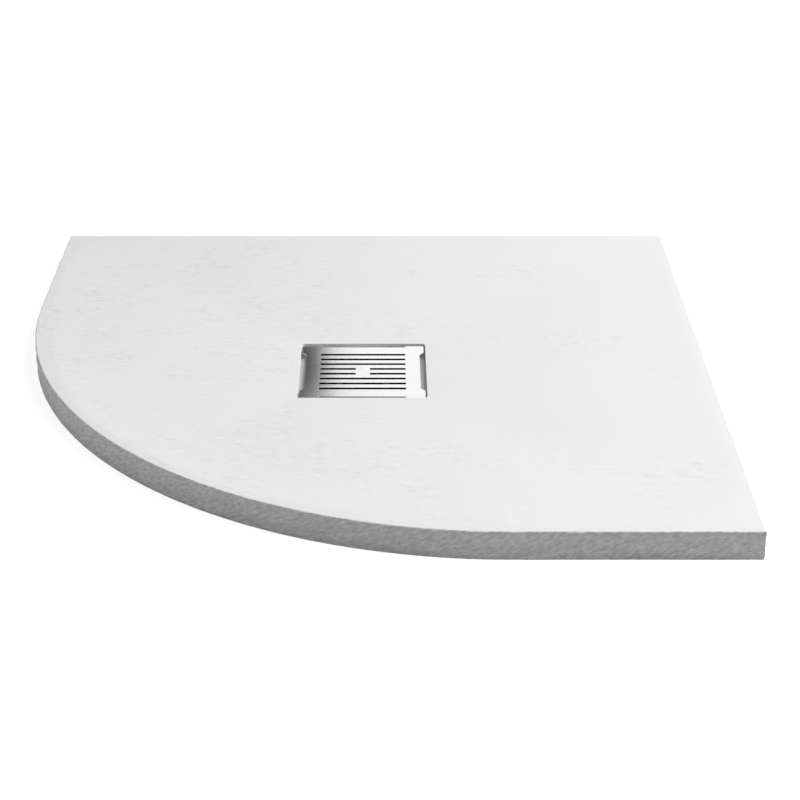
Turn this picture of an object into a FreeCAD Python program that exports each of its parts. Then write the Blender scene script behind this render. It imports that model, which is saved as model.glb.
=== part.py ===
"""Quadrant shower tray of white stone resin, with its drain grate and the waste trap that hangs below it.

The frame: origin on the drain's axis, on the plane of the tray's underside; +X to the right side,
+Y to the back, +Z up.  Lengths are millimetres.  The curved corner is at the front left; the
straight right side and the back stand against the two walls.
"""
import FreeCAD, Part
import math
import os

import Sketcher

PARTS_FOLDER = "parts"
DIAGONAL = math.sqrt(0.5)
GRATE_ROWS_PER_HALF = 4
NUT_RIB_COUNT = 12
STRAINER_INNER_SLOTS = 8
STRAINER_OUTER_SLOTS = 16
TOLERANCE = 1e-4
UP = FreeCAD.Vector(0, 0, 1)

# Every size that can be chosen by itself, in millimetres: name, value, what it measures.
SIZES = (
    ("tray_width", 800, "tray, left edge to right edge"),
    ("tray_depth", 800, "tray, front edge to back edge"),
    ("tray_thickness", 32, "tray, underside to rim"),
    ("drain_from_left", 400, "left edge to the drain's axis"),
    ("drain_from_front", 400, "front edge to the drain's axis"),
    ("curve_radius", 550, "plan radius of the curved corner"),
    ("edge_radius", 2, "roll of the tray's upper edge"),
    ("rim_land", 12, "level band all round the rim"),
    ("fall_drop", 13, "fall from the rim to the drain's lip"),
    ("curve_run", 115, "run of the steeper fall that leads up to the rim of the curved corner"),
    ("recess_size", 148, "side of the square recess that holds the grate"),
    ("recess_corner", 4, "plan radius of the recess's corners"),
    ("recess_floor", 10, "stone left under the recess"),
    ("lip_land", 1, "level band round the recess"),
    ("lip_bevel", 0.6, "bevel of the recess's upper edge"),
    ("waste_hole", 90, "diameter of the hole for the waste"),
    ("seat_diameter", 124, "machined seal seat on the underside"),
    ("seat_depth", 1, "depth of the seal seat"),
    ("grate_gap", 1.75, "recess's wall to the grate's edge"),
    ("grate_sheet", 1.5, "thickness of the grate's sheet"),
    ("grate_sunk", 2, "grate's top below the drain's lip"),
    ("grate_corner", 3, "plan radius of the grate's corners"),
    ("leg_width", 100, "width of each folded leg"),
    ("leg_setback", 3, "leg's outer face behind the plate's edge"),
    ("leg_relief", 1, "relief cut beside each leg"),
    ("bend_radius", 2.5, "outer radius of the legs' fold"),
    ("slot_length", 100, "drain slot, end to end"),
    ("slot_width", 4.8, "drain slot, side to side"),
    ("slot_pitch", 13.2, "drain slot to drain slot"),
    ("bridge_width", 16.6, "plain bridge across the two middle slots"),
    ("notch_depth", 5, "finger notch, into the plate's side"),
    ("notch_inner", 91, "finger notch, length at its bottom"),
    ("notch_outer", 105, "finger notch, length at the plate's edge"),
    ("pad_length", 16, "rubber shoe under a leg"),
    ("pad_wall", 1.2, "rubber beside the leg"),
    ("pad_height", 3, "rubber shoe, foot to top"),
    ("pad_foot", 1, "rubber under the leg's edge"),
    ("pad_inset", 8, "leg's end to the shoe"),
    ("pad_play", 0.05, "play between the shoe and the leg"),
    ("flange_gap", 12, "recess's wall to the edge of the waste's square flange"),
    ("flange_corner", 8, "plan radius of the flange's corners"),
    ("flange_thickness", 2.5, "thickness of the flange"),
    ("throat_diameter", 62, "flange's throat"),
    ("rebate_diameter", 67, "rebate round the throat, for the strainer's rim"),
    ("rebate_depth", 1.4, "depth of that rebate"),
    ("flange_seal_thickness", 1.5, "foam seal under the flange"),
    ("flange_seal_margin", 1, "flange's edge to the seal's edge"),
    ("flange_seal_bore", 92, "hole in the foam seal"),
    ("screw_circle", 77, "pitch circle of the clamp screws"),
    ("screw_diameter", 4, "clamp screw's shank"),
    ("screw_length", 20, "clamp screw, under its head"),
    ("screw_head", 8, "clamp screw's head"),
    ("screw_head_height", 1.5, "height of the clamp screw's head"),
    ("screw_play", 0.25, "radial play round the shank and the head in the flange"),
    ("screw_grip_play", 0.05, "radial play in the boss's pilot hole"),
    ("trap_seal_thickness", 2, "rubber seal between the trap and the tray"),
    ("trap_seal_diameter", 116, "outside of that seal"),
    ("deck_diameter", 118, "trap's deck, which is its top flange too"),
    ("deck_thickness", 4, "thickness of the trap's deck"),
    ("cup_diameter", 108, "trap's cup"),
    ("cup_wall", 3, "wall of the cup"),
    ("cup_depth", 92, "underside of the tray to the cup's bottom"),
    ("cup_bevel", 3, "bevel round the cup's bottom, outside"),
    ("socket_bore", 56, "socket in the deck for the dip tube"),
    ("socket_wall", 2.5, "wall of that socket"),
    ("socket_depth", 14, "length of that socket"),
    ("boss_diameter", 9, "screw boss"),
    ("boss_depth", 15, "boss, from the deck's top down"),
    ("boss_floor", 1.5, "plastic left under the pilot hole"),
    ("outlet_drop", 36, "tray's underside down to the outlet's axis"),
    ("outlet_reach", 93, "drain's axis to the outlet's mouth"),
    ("outlet_bore", 35, "waterway of the outlet"),
    ("outlet_wall", 3.7, "wall round the pipe socket"),
    ("pipe_diameter", 40, "outside of the waste pipe that pushes in"),
    ("pipe_play", 0.3, "radial play round that pipe"),
    ("pipe_depth", 31, "mouth to the pipe's stop"),
    ("mouth_flare", 3, "flare of the outlet's mouth, for the cone seal"),
    ("nut_play", 0.3, "radial play between the nut and the outlet"),
    ("nut_wall", 3.7, "wall of the nut"),
    ("nut_overlap", 18, "nut's length over the outlet"),
    ("nut_end", 3, "end wall of the nut"),
    ("nut_bore_play", 1.2, "radial play of the pipe in the nut's end wall"),
    ("nut_rib_height", 2, "grip rib on the nut"),
    ("nut_rib_width", 4, "grip rib, side to side"),
    ("cone_seal_length", 3, "cone seal's collar outside the mouth"),
    ("seal_play", 0.1, "play outside the outlet's seal and washer"),
    ("seal_bore_play", 0.6, "cone seal's bore over the pipe socket's radius"),
    ("washer_bore_play", 0.9, "slip washer's bore over the pipe socket's radius"),
    ("washer_thickness", 2, "slip washer under the nut"),
    ("rim_diameter", 60, "rim of the dip tube"),
    ("rim_thickness", 2, "thickness of that rim"),
    ("plug_play", 0.3, "radial play of the dip tube in its socket"),
    ("plug_depth", 12, "dip tube's plug below the rim"),
    ("cone_height", 7, "cone between the plug and the tube"),
    ("tube_diameter", 40, "dip tube"),
    ("tube_wall", 2, "wall of the dip tube"),
    ("tube_drop", 80, "tray's underside to the dip tube's end"),
    ("handle_width", 5, "lifting bar across the dip tube"),
    ("handle_height", 4, "height of the lifting bar"),
    ("ring_section", 3, "section of the dip tube's seal ring"),
    ("ring_drop", 5, "rim's seat to the middle of the ring"),
    ("ring_play", 0.1, "play round the seal ring"),
    ("strainer_play", 0.3, "radial play of the strainer's rim in its rebate"),
    ("strainer_gap", 1, "strainer's basket to the throat"),
    ("strainer_wall", 1.2, "wall of the strainer"),
    ("strainer_drop", 8, "depth of the strainer's basket under its rim"),
    ("strainer_slot_width", 3, "radial slot in the strainer's floor, side to side"),
    ("strainer_slot_length", 7, "radial slot, end to end"),
    ("strainer_inner", 24, "circle through the middles of the inner slots"),
    ("strainer_outer", 44, "circle through the middles of the outer slots"),
    ("knob_diameter", 8, "strainer's lifting knob"),
    ("knob_gap", 0.8, "knob's top to the grate"),
)


# ---------------------------------------------------------------- sizes and bindings

class Size:
    """A length together with the sheet expression that gives it, so that features can be bound to it."""

    def __init__(self, text, number):
        self.text = text
        self.number = number

    def __add__(self, other):
        return combine(self, "+", other, self.number + number_of(other))

    def __sub__(self, other):
        return combine(self, "-", other, self.number - number_of(other))

    def __mul__(self, other):
        return combine(self, "*", other, self.number * number_of(other))

    def __truediv__(self, other):
        return combine(self, "/", other, self.number / number_of(other))

    def __neg__(self):
        return Size("(0 - %s)" % self.text, -self.number)


def number_of(value):
    """Give the plain number of a Size or a number."""
    return value.number if isinstance(value, Size) else value


def text_of(value):
    """Give the expression text of a Size or a number."""
    return value.text if isinstance(value, Size) else repr(value)


def combine(left, sign, right, number):
    """Join two sizes, or a size and a number, into one expression."""
    return Size("(%s %s %s)" % (text_of(left), sign, text_of(right)), number)


def bind(item, name, value):
    """Bind one property of an object to a size."""
    item.setExpression(name, text_of(value))


class Sizes:
    """Every named size of the sheet, and the heights and positions that several pieces share."""

    def __init__(self, sheet):
        for row, (name, number, meaning) in enumerate(SIZES, start=1):
            sheet.set("A%d" % row, name)
            sheet.set("B%d" % row, str(number))
            sheet.set("C%d" % row, meaning)
            sheet.setAlias("B%d" % row, name)
            setattr(self, name, Size("%s.%s" % (sheet.Name, name), number))
        self.left = -self.drain_from_left
        self.right = self.tray_width - self.drain_from_left
        self.front = -self.drain_from_front
        self.back = self.tray_depth - self.drain_from_front
        self.curve_x = self.left + self.curve_radius
        self.curve_y = self.front + self.curve_radius
        # Heights, from the rim down to the recess's floor, and from there up to the flange.
        self.lip_z = self.tray_thickness - self.fall_drop
        self.grate_top = self.lip_z - self.grate_sunk
        self.grate_under = self.grate_top - self.grate_sheet
        self.flange_under = self.recess_floor + self.flange_seal_thickness
        self.flange_top = self.flange_under + self.flange_thickness
        self.rebate_z = self.flange_top - self.rebate_depth
        self.screw_seat = self.flange_top - self.screw_head_height
        # Heights of the trap below the tray.
        self.deck_top = self.seat_depth - self.trap_seal_thickness
        self.deck_under = self.deck_top - self.deck_thickness
        self.cup_bottom = -self.cup_depth
        self.outlet_z = -self.outlet_drop
        # Places along the outlet's axis.
        self.socket_radius = self.pipe_diameter / 2 + self.pipe_play
        self.outlet_radius = self.socket_radius + self.outlet_wall
        self.pipe_stop = self.outlet_reach - self.pipe_depth
        self.washer_start = self.outlet_reach + self.cone_seal_length
        self.washer_end = self.washer_start + self.washer_thickness
        self.nut_bore = self.outlet_radius + self.nut_play
        self.nut_radius = self.nut_bore + self.nut_wall
        # The grate and the waste's flange, side to side, as the recess lets them in.
        self.grate_size = self.recess_size - self.grate_gap * 2
        self.flange_size = self.recess_size - self.flange_gap * 2
        # The leg's outer and inner face, front and back alike.
        self.leg_outer = self.grate_size / 2 - self.leg_setback
        self.leg_inner = self.leg_outer - self.grate_sheet


# ---------------------------------------------------------------- sketch helpers

def new_body(label):
    """Start one piece."""
    body = doc.addObject("PartDesign::Body", label)
    body.Label = label
    return body


def new_sketch(body, name, plane="XY_Plane", lift=None, shift=None):
    """Sketch on one of the body's own planes, lifted off it or shifted along the sketch's second axis."""
    sketch = body.newObject("Sketcher::SketchObject", name)
    origin_plane = [f for f in body.Origin.OriginFeatures if f.Role == plane][0]
    sketch.AttachmentSupport = [(origin_plane, "")]
    sketch.MapMode = "FlatFace"
    if lift is not None:
        bind(sketch, "AttachmentOffset.Base.z", lift)
    if shift is not None:
        bind(sketch, "AttachmentOffset.Base.y", shift)
    return sketch


def dimension(sketch, kind, references, value):
    """Add a driving dimension and bind it to a size."""
    index = sketch.addConstraint(Sketcher.Constraint(kind, *references, number_of(value)))
    sketch.setExpression("Constraints[%d]" % index, text_of(value))


def place_point(sketch, geometry, position, x, y):
    """Hold a point of the sketch at x, y from its origin."""
    for kind, value, axis in (("DistanceX", x, -2), ("DistanceY", y, -1)):
        if isinstance(value, Size):
            dimension(sketch, kind, (-1, 1, geometry, position), value)
        else:
            sketch.addConstraint(Sketcher.Constraint("PointOnObject", geometry, position, axis))


def add_circle(sketch, x, y, radius):
    """Add a circle; a plain 0 puts its centre on the axis."""
    centre = FreeCAD.Vector(number_of(x), number_of(y), 0)
    index = sketch.addGeometry(Part.Circle(centre, UP, number_of(radius)), False)
    dimension(sketch, "Radius", (index,), radius)
    place_point(sketch, index, 3, x, y)


def add_loop(sketch, corners, arcs=None, clockwise=()):
    """Close a loop through the corners; arcs maps a side's number to (centre x, centre y, radius).

    The loop runs anticlockwise round its inside, and so do its arcs, but for the sides named clockwise.
    """
    arcs = arcs or {}
    first = sketch.GeometryCount
    count = len(corners)
    points = [FreeCAD.Vector(number_of(x), number_of(y), 0) for x, y in corners]
    heads = []
    for side in range(count):
        start = points[side]
        end = points[(side + 1) % count]
        heads.append((2, 1) if side in clockwise else (1, 2))
        if side not in arcs:
            sketch.addGeometry(Part.LineSegment(start, end), False)
            continue
        centre_x, centre_y, radius = arcs[side]
        centre = FreeCAD.Vector(number_of(centre_x), number_of(centre_y), 0)
        angles = [math.atan2(point.y - centre.y, point.x - centre.x) for point in (start, end)]
        if side in clockwise:
            angles.reverse()
        circle = Part.Circle(centre, UP, number_of(radius))
        sketch.addGeometry(Part.ArcOfCircle(circle, *angles), False)
    for side in range(count):
        following = (side + 1) % count
        joint = (first + side, heads[side][1], first + following, heads[following][0])
        sketch.addConstraint(Sketcher.Constraint("Coincident", *joint))
    for side, (x, y) in enumerate(corners):
        place_point(sketch, first + side, heads[side][0], x, y)
    for side, (_, _, radius) in arcs.items():
        dimension(sketch, "Radius", (first + side,), radius)


def add_box(sketch, x_low, y_low, x_high, y_high):
    """Add a sharp rectangle."""
    add_loop(sketch, [(x_low, y_low), (x_high, y_low), (x_high, y_high), (x_low, y_high)])


def add_rounded_square(sketch, side, radius):
    """Add a square with rounded corners, centred on the sketch's origin."""
    half = side / 2
    near = half - radius
    corners = [(-near, -half), (near, -half), (half, -near), (half, near),
               (near, half), (-near, half), (-half, near), (-half, -near)]
    arcs = {1: (near, -near, radius), 3: (near, near, radius),
            5: (-near, near, radius), 7: (-near, -near, radius)}
    add_loop(sketch, corners, arcs)


def screw_places():
    """Give the middles of the four clamp screws, on the diagonals."""
    across = s.screw_circle / 2 * DIAGONAL
    return [(across, across), (-across, across), (-across, -across), (across, -across)]


# ---------------------------------------------------------------- feature helpers

def pad(body, sketch, name, length, reversed_=False):
    """Raise a sketch into solid."""
    feature = body.newObject("PartDesign::Pad", name)
    feature.Profile = sketch
    feature.Reversed = reversed_
    bind(feature, "Length", length)
    return feature


def pocket(body, sketch, name, length, reversed_=False):
    """Cut a sketch into the solid, and make sure that something was cut."""
    doc.recompute()
    before = body.Shape.Volume
    feature = body.newObject("PartDesign::Pocket", name)
    feature.Profile = sketch
    feature.Reversed = reversed_
    bind(feature, "Length", length)
    doc.recompute()
    check_smaller(body, name, before)
    return feature


def check_smaller(body, name, before):
    """Refuse a cut that removed nothing."""
    if not body.Shape.Volume < before:
        raise RuntimeError("%s cuts nothing" % name)


def revolve(body, sketch, name, axis="V_Axis"):
    """Turn a half section into a solid."""
    feature = body.newObject("PartDesign::Revolution", name)
    feature.Profile = sketch
    feature.ReferenceAxis = (sketch, [axis])
    feature.Angle = 360
    return feature


def groove(body, sketch, name, axis="V_Axis"):
    """Turn a half section into a hollow."""
    doc.recompute()
    before = body.Shape.Volume
    feature = body.newObject("PartDesign::Groove", name)
    feature.Profile = sketch
    feature.ReferenceAxis = (sketch, [axis])
    feature.Angle = 360
    doc.recompute()
    check_smaller(body, name, before)
    return feature


def ring_of(body, feature, name, count, plane_axis="Z_Axis"):
    """Repeat a feature round one of the body's axes."""
    doc.recompute()
    pattern = body.newObject("PartDesign::PolarPattern", name)
    pattern.Originals = [feature]
    axis = [f for f in body.Origin.OriginFeatures if f.Role == plane_axis][0]
    pattern.Axis = (axis, [""])
    pattern.Angle = 360
    pattern.Occurrences = count
    body.Tip = pattern
    doc.recompute()
    return pattern


def round_edges(body, name, radius, wanted):
    """Round the edges of the solid so far that the test picks out."""
    doc.recompute()
    base = body.Tip
    names = []
    for number, edge in enumerate(base.Shape.Edges, start=1):
        if wanted(edge):
            names.append("Edge%d" % number)
    if not names:
        raise RuntimeError("%s finds no edge" % name)
    fillet = body.newObject("PartDesign::Fillet", name)
    fillet.Base = (base, names)
    bind(fillet, "Radius", radius)
    doc.recompute()
    return fillet


def is_level(edge, height):
    """Tell whether an edge lies wholly at one height."""
    box = edge.BoundBox
    return abs(box.ZMin - height) < TOLERANCE and abs(box.ZMax - height) < TOLERANCE


def ring(name, inner, outer, low, thickness):
    """Make a flat ring between two radii."""
    disc = doc.addObject("Part::Cylinder", name + "_disc")
    bind(disc, "Radius", outer)
    bind(disc, "Height", thickness)
    bind(disc, "Placement.Base.z", low)
    hole = doc.addObject("Part::Cylinder", name + "_hole")
    bind(hole, "Radius", inner)
    bind(hole, "Height", thickness)
    bind(hole, "Placement.Base.z", low)
    cut = doc.addObject("Part::Cut", name)
    cut.Base = disc
    cut.Tool = hole
    cut.Label = name
    return cut


# ---------------------------------------------------------------- the tray

def tray_outline(sketch):
    """Draw the tray's plan: two straight sides to the walls, and the curved corner between the other two."""
    corners = [(s.left, s.back), (s.left, s.curve_y), (s.curve_x, s.front), (s.right, s.front), (s.right, s.back)]
    add_loop(sketch, corners, {1: (s.curve_x, s.curve_y, s.curve_radius)})


def make_falls():
    """Give the hollow that the falls leave: a flat one to each side, and a cone in the curved corner."""
    foot = s.recess_size / 2 + s.lip_land
    flat = doc.addObject("Part::Wedge", "flat_falls")
    # The wedge tapers along its own Y, which the turn about X sets upright; its own Z then runs to the front.
    flat.Placement.Rotation = FreeCAD.Rotation(FreeCAD.Vector(1, 0, 0), 90)
    for name, value in (("Ymin", s.lip_z), ("Ymax", s.tray_thickness),
                        ("Xmin", -foot), ("Xmax", foot), ("Zmin", -foot), ("Zmax", foot),
                        ("X2min", s.left + s.rim_land), ("X2max", s.right - s.rim_land),
                        ("Z2min", -(s.back - s.rim_land)), ("Z2max", -(s.front + s.rim_land))):
        bind(flat, name, value)

    radius = s.curve_radius - s.rim_land
    cone = doc.addObject("Part::Cone", "curved_fall")
    bind(cone, "Radius1", radius - s.curve_run * 1.5)
    bind(cone, "Radius2", radius + s.curve_run / 2)
    bind(cone, "Height", s.fall_drop * 2)
    bind(cone, "Placement.Base.x", s.curve_x)
    bind(cone, "Placement.Base.y", s.curve_y)
    bind(cone, "Placement.Base.z", s.lip_z - s.fall_drop / 2)
    corner = doc.addObject("Part::Box", "curved_corner")
    bind(corner, "Length", s.curve_radius)
    bind(corner, "Width", s.curve_radius)
    bind(corner, "Height", s.fall_drop * 2)
    bind(corner, "Placement.Base.x", s.left)
    bind(corner, "Placement.Base.y", s.front)
    bind(corner, "Placement.Base.z", s.lip_z - s.fall_drop / 2)
    kept = doc.addObject("Part::Cut", "corner_kept")
    kept.Base = corner
    kept.Tool = cone
    falls = doc.addObject("Part::Cut", "falls")
    falls.Base = flat
    falls.Tool = kept
    return falls


def make_tray():
    """Cast tray: a slab with falls to a square recess, the waste's hole and its seal seat."""
    body = new_body("tray_block")
    plan = new_sketch(body, "tray_plan")
    tray_outline(plan)
    pad(body, plan, "tray_slab", s.tray_thickness)
    top = number_of(s.tray_thickness)
    round_edges(body, "tray_edge_roll", s.edge_radius, lambda edge: is_level(edge, top))
    recess = new_sketch(body, "recess_plan", lift=s.tray_thickness)
    add_rounded_square(recess, s.recess_size, s.recess_corner)
    pocket(body, recess, "grate_recess", s.tray_thickness - s.recess_floor)
    hole = new_sketch(body, "waste_hole_plan", lift=s.recess_floor)
    add_circle(hole, 0, 0, s.waste_hole / 2)
    pocket(body, hole, "waste_hole", s.recess_floor)
    seat = new_sketch(body, "seal_seat_plan")
    add_circle(seat, 0, 0, s.seat_diameter / 2)
    pocket(body, seat, "seal_seat", s.seat_depth, reversed_=True)

    fallen = doc.addObject("Part::Cut", "fallen_tray")
    fallen.Base = body
    fallen.Tool = make_falls()
    doc.recompute()
    if not fallen.Shape.Volume < body.Shape.Volume:
        raise RuntimeError("the falls cut nothing")

    lip = number_of(s.lip_z)
    reach = number_of(s.recess_size) / 2 + TOLERANCE
    bevel = number_of(s.lip_bevel)
    edges = []
    for number, edge in enumerate(fallen.Shape.Edges, start=1):
        box = edge.BoundBox
        if is_level(edge, lip) and max(-box.XMin, box.XMax, -box.YMin, box.YMax) < reach:
            edges.append((number, bevel, bevel))
    tray = doc.addObject("Part::Chamfer", "tray_body")
    tray.Base = fallen
    tray.Edges = edges
    tray.Label = "tray_body"
    return tray


# ---------------------------------------------------------------- the grate

def grate_plan(sketch):
    """Draw the flat plate: four corner wings, a finger notch each side, and set back at each leg."""
    half = s.grate_size / 2
    corner = s.grate_corner
    near = half - corner
    leg = s.leg_width / 2
    fold = s.leg_outer - s.bend_radius
    notch = half - s.notch_depth
    short = s.notch_inner / 2
    long = s.notch_outer / 2
    corners = [
        (-near, -half), (-leg, -half), (-leg, -fold), (leg, -fold), (leg, -half), (near, -half),
        (half, -near), (half, -long), (notch, -short), (notch, short), (half, long), (half, near),
        (near, half), (leg, half), (leg, fold), (-leg, fold), (-leg, half), (-near, half),
        (-half, near), (-half, long), (-notch, short), (-notch, -short), (-half, -long), (-half, -near)]
    arcs = {5: (near, -near, corner), 11: (near, near, corner),
            17: (-near, near, corner), 23: (-near, -near, corner)}
    add_loop(sketch, corners, arcs)


def leg_section(sketch):
    """Draw the front leg's section: the fold and the strip that stands in the rubber shoes."""
    outer = -s.leg_outer
    inner = -s.leg_inner
    fold = outer + s.bend_radius
    fold_z = s.grate_top - s.bend_radius
    foot_z = s.recess_floor + s.pad_foot
    corners = [(fold, s.grate_top), (outer, fold_z), (outer, foot_z),
               (inner, foot_z), (inner, fold_z), (fold, s.grate_under)]
    arcs = {0: (fold, fold_z, s.bend_radius), 4: (fold, fold_z, s.bend_radius - s.grate_sheet)}
    add_loop(sketch, corners, arcs, clockwise=(4,))


def add_slots(sketch):
    """Draw the drain slots; the two middle rows stop at the plain bridge."""
    half_slot = s.slot_length / 2
    half_bridge = s.bridge_width / 2
    for row in range(GRATE_ROWS_PER_HALF):
        for centre in (s.slot_pitch * (row + 0.5), -(s.slot_pitch * (row + 0.5))):
            low = centre - s.slot_width / 2
            high = centre + s.slot_width / 2
            if row == 0:
                add_box(sketch, -half_slot, low, -half_bridge, high)
                add_box(sketch, half_bridge, low, half_slot, high)
            else:
                add_box(sketch, -half_slot, low, half_slot, high)


def make_grate():
    """Sheet-steel grate: one plate with slots and finger notches, folded down at front and back."""
    body = new_body("grate_plate")
    plan = new_sketch(body, "grate_plan", lift=s.grate_under)
    grate_plan(plan)
    pad(body, plan, "grate_sheet_pad", s.grate_sheet)
    section = new_sketch(body, "leg_section", "YZ_Plane")
    leg_section(section)
    leg = pad(body, section, "front_leg", s.leg_width - s.leg_relief * 2)
    leg.Midplane = True
    doc.recompute()
    mirrored = body.newObject("PartDesign::Mirrored", "back_leg")
    mirrored.Originals = [leg]
    plane = [f for f in body.Origin.OriginFeatures if f.Role == "XZ_Plane"][0]
    mirrored.MirrorPlane = (plane, [""])
    body.Tip = mirrored
    slots = new_sketch(body, "slot_plan", lift=s.grate_top)
    add_slots(slots)
    pocket(body, slots, "drain_slots", s.grate_sheet)
    return body


def make_grate_pads():
    """Four rubber shoes pushed on the legs' lower edges, two to a leg."""
    shoes = []
    along = s.leg_width / 2 - s.leg_relief - s.pad_inset - s.pad_length
    for side_x in (-1, 1):
        for side_y in (-1, 1):
            name = "grate_shoe_%d" % len(shoes)
            block = doc.addObject("Part::Box", name + "_block")
            groove_box = doc.addObject("Part::Box", name + "_groove")
            outer = s.leg_outer + s.pad_play + s.pad_wall
            inner = s.leg_inner - s.pad_play - s.pad_wall
            start = along if side_x > 0 else -along - s.pad_length
            bind(block, "Length", s.pad_length)
            bind(block, "Width", outer - inner)
            bind(block, "Height", s.pad_height)
            bind(block, "Placement.Base.x", start)
            bind(block, "Placement.Base.y", inner if side_y > 0 else -outer)
            bind(block, "Placement.Base.z", s.recess_floor)
            bind(groove_box, "Length", s.pad_length)
            bind(groove_box, "Width", s.grate_sheet + s.pad_play * 2)
            bind(groove_box, "Height", s.pad_height)
            bind(groove_box, "Placement.Base.x", start)
            groove_y = s.leg_inner - s.pad_play if side_y > 0 else -s.leg_outer - s.pad_play
            bind(groove_box, "Placement.Base.y", groove_y)
            bind(groove_box, "Placement.Base.z", s.recess_floor + s.pad_foot)
            shoe = doc.addObject("Part::Cut", name)
            shoe.Base = block
            shoe.Tool = groove_box
            shoes.append(shoe)
    group = doc.addObject("Part::Compound", "grate_pads")
    group.Links = shoes
    group.Label = "grate_pads"
    return group


# ---------------------------------------------------------------- the waste's top, in the recess

def make_flange():
    """Square waste flange: throat with a rebate for the strainer, and counterbored screw holes."""
    body = new_body("waste_flange")
    plan = new_sketch(body, "flange_plan", lift=s.flange_under)
    add_rounded_square(plan, s.flange_size, s.flange_corner)
    add_circle(plan, 0, 0, s.throat_diameter / 2)
    pad(body, plan, "flange_plate", s.flange_thickness)
    rebate = new_sketch(body, "rebate_plan", lift=s.flange_top)
    add_circle(rebate, 0, 0, s.rebate_diameter / 2)
    pocket(body, rebate, "strainer_rebate", s.rebate_depth)
    shank = new_sketch(body, "screw_hole_plan", lift=s.flange_top)
    head = new_sketch(body, "counterbore_plan", lift=s.flange_top)
    for side_x, side_y in screw_places():
        add_circle(shank, side_x, side_y, s.screw_diameter / 2 + s.screw_play)
        add_circle(head, side_x, side_y, s.screw_head / 2 + s.screw_play)
    pocket(body, shank, "screw_holes", s.flange_thickness)
    pocket(body, head, "counterbores", s.screw_head_height)
    return body


def make_flange_seal():
    """Foam seal between the flange and the floor of the recess."""
    body = new_body("flange_gasket")
    plan = new_sketch(body, "flange_seal_plan", lift=s.recess_floor)
    add_rounded_square(plan, s.flange_size - s.flange_seal_margin * 2, s.flange_corner)
    add_circle(plan, 0, 0, s.flange_seal_bore / 2)
    pad(body, plan, "flange_seal", s.flange_seal_thickness)
    return body


def make_screws():
    """Clamp screws: they draw the flange and the trap together through the waste's hole."""
    screws = []
    for side_x, side_y in screw_places():
        name = "clamp_screw_%d" % len(screws)
        shank = doc.addObject("Part::Cylinder", name + "_shank")
        bind(shank, "Radius", s.screw_diameter / 2)
        bind(shank, "Height", s.screw_length)
        head = doc.addObject("Part::Cylinder", name + "_head")
        bind(head, "Radius", s.screw_head / 2)
        bind(head, "Height", s.screw_head_height)
        for item, low in ((shank, s.screw_seat - s.screw_length), (head, s.screw_seat)):
            bind(item, "Placement.Base.x", side_x)
            bind(item, "Placement.Base.y", side_y)
            bind(item, "Placement.Base.z", low)
        screw = doc.addObject("Part::Fuse", name)
        screw.Base = shank
        screw.Tool = head
        screws.append(screw)
    group = doc.addObject("Part::Compound", "clamp_screws")
    group.Links = screws
    group.Label = "clamp_screws"
    return group


def make_strainer():
    """Hair strainer: a shallow basket that drops into the flange's rebate, with a knob to lift it by."""
    body = new_body("hair_strainer")
    rim = s.rebate_diameter / 2 - s.strainer_play
    basket = s.throat_diameter / 2 - s.strainer_gap
    inside = basket - s.strainer_wall
    floor_z = s.rebate_z - s.strainer_drop
    knob = s.knob_diameter / 2
    knob_z = s.grate_under - s.knob_gap
    section = new_sketch(body, "strainer_section", "XZ_Plane")
    corners = [(0, floor_z), (basket, floor_z), (basket, s.rebate_z), (rim, s.rebate_z),
               (rim, s.flange_top), (inside, s.flange_top), (inside, floor_z + s.strainer_wall),
               (knob, floor_z + s.strainer_wall), (knob, knob_z), (0, knob_z)]
    add_loop(section, corners)
    revolve(body, section, "strainer_shell")
    half_width = s.strainer_slot_width / 2
    half_length = s.strainer_slot_length / 2
    rings = (("inner", s.strainer_inner, STRAINER_INNER_SLOTS), ("outer", s.strainer_outer, STRAINER_OUTER_SLOTS))
    for name, circle, count in rings:
        plan = new_sketch(body, name + "_slot_plan", lift=floor_z + s.strainer_wall)
        middle = circle / 2
        add_box(plan, middle - half_length, -half_width, middle + half_length, half_width)
        slot = pocket(body, plan, name + "_slot", s.strainer_wall)
        ring_of(body, slot, name + "_slots", count)
    return body


# ---------------------------------------------------------------- the trap, below the tray

def make_cup():
    """Trap's cup: open at its top, with the waterway's hole to the back."""
    body = new_body("trap_cup")
    radius = s.cup_diameter / 2
    outer = new_sketch(body, "cup_section", "XZ_Plane")
    corners = [(0, s.cup_bottom), (radius - s.cup_bevel, s.cup_bottom), (radius, s.cup_bottom + s.cup_bevel),
               (radius, s.deck_under), (0, s.deck_under)]
    add_loop(outer, corners)
    revolve(body, outer, "cup")
    chamber = new_sketch(body, "chamber_plan", lift=s.deck_under)
    add_circle(chamber, 0, 0, radius - s.cup_wall)
    pocket(body, chamber, "chamber", s.deck_under - s.cup_bottom - s.cup_wall)
    waterway = new_sketch(body, "cup_waterway_plan", "XZ_Plane")
    add_circle(waterway, 0, s.outlet_z, s.outlet_bore / 2)
    pocket(body, waterway, "cup_waterway", radius)
    return body


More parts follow.
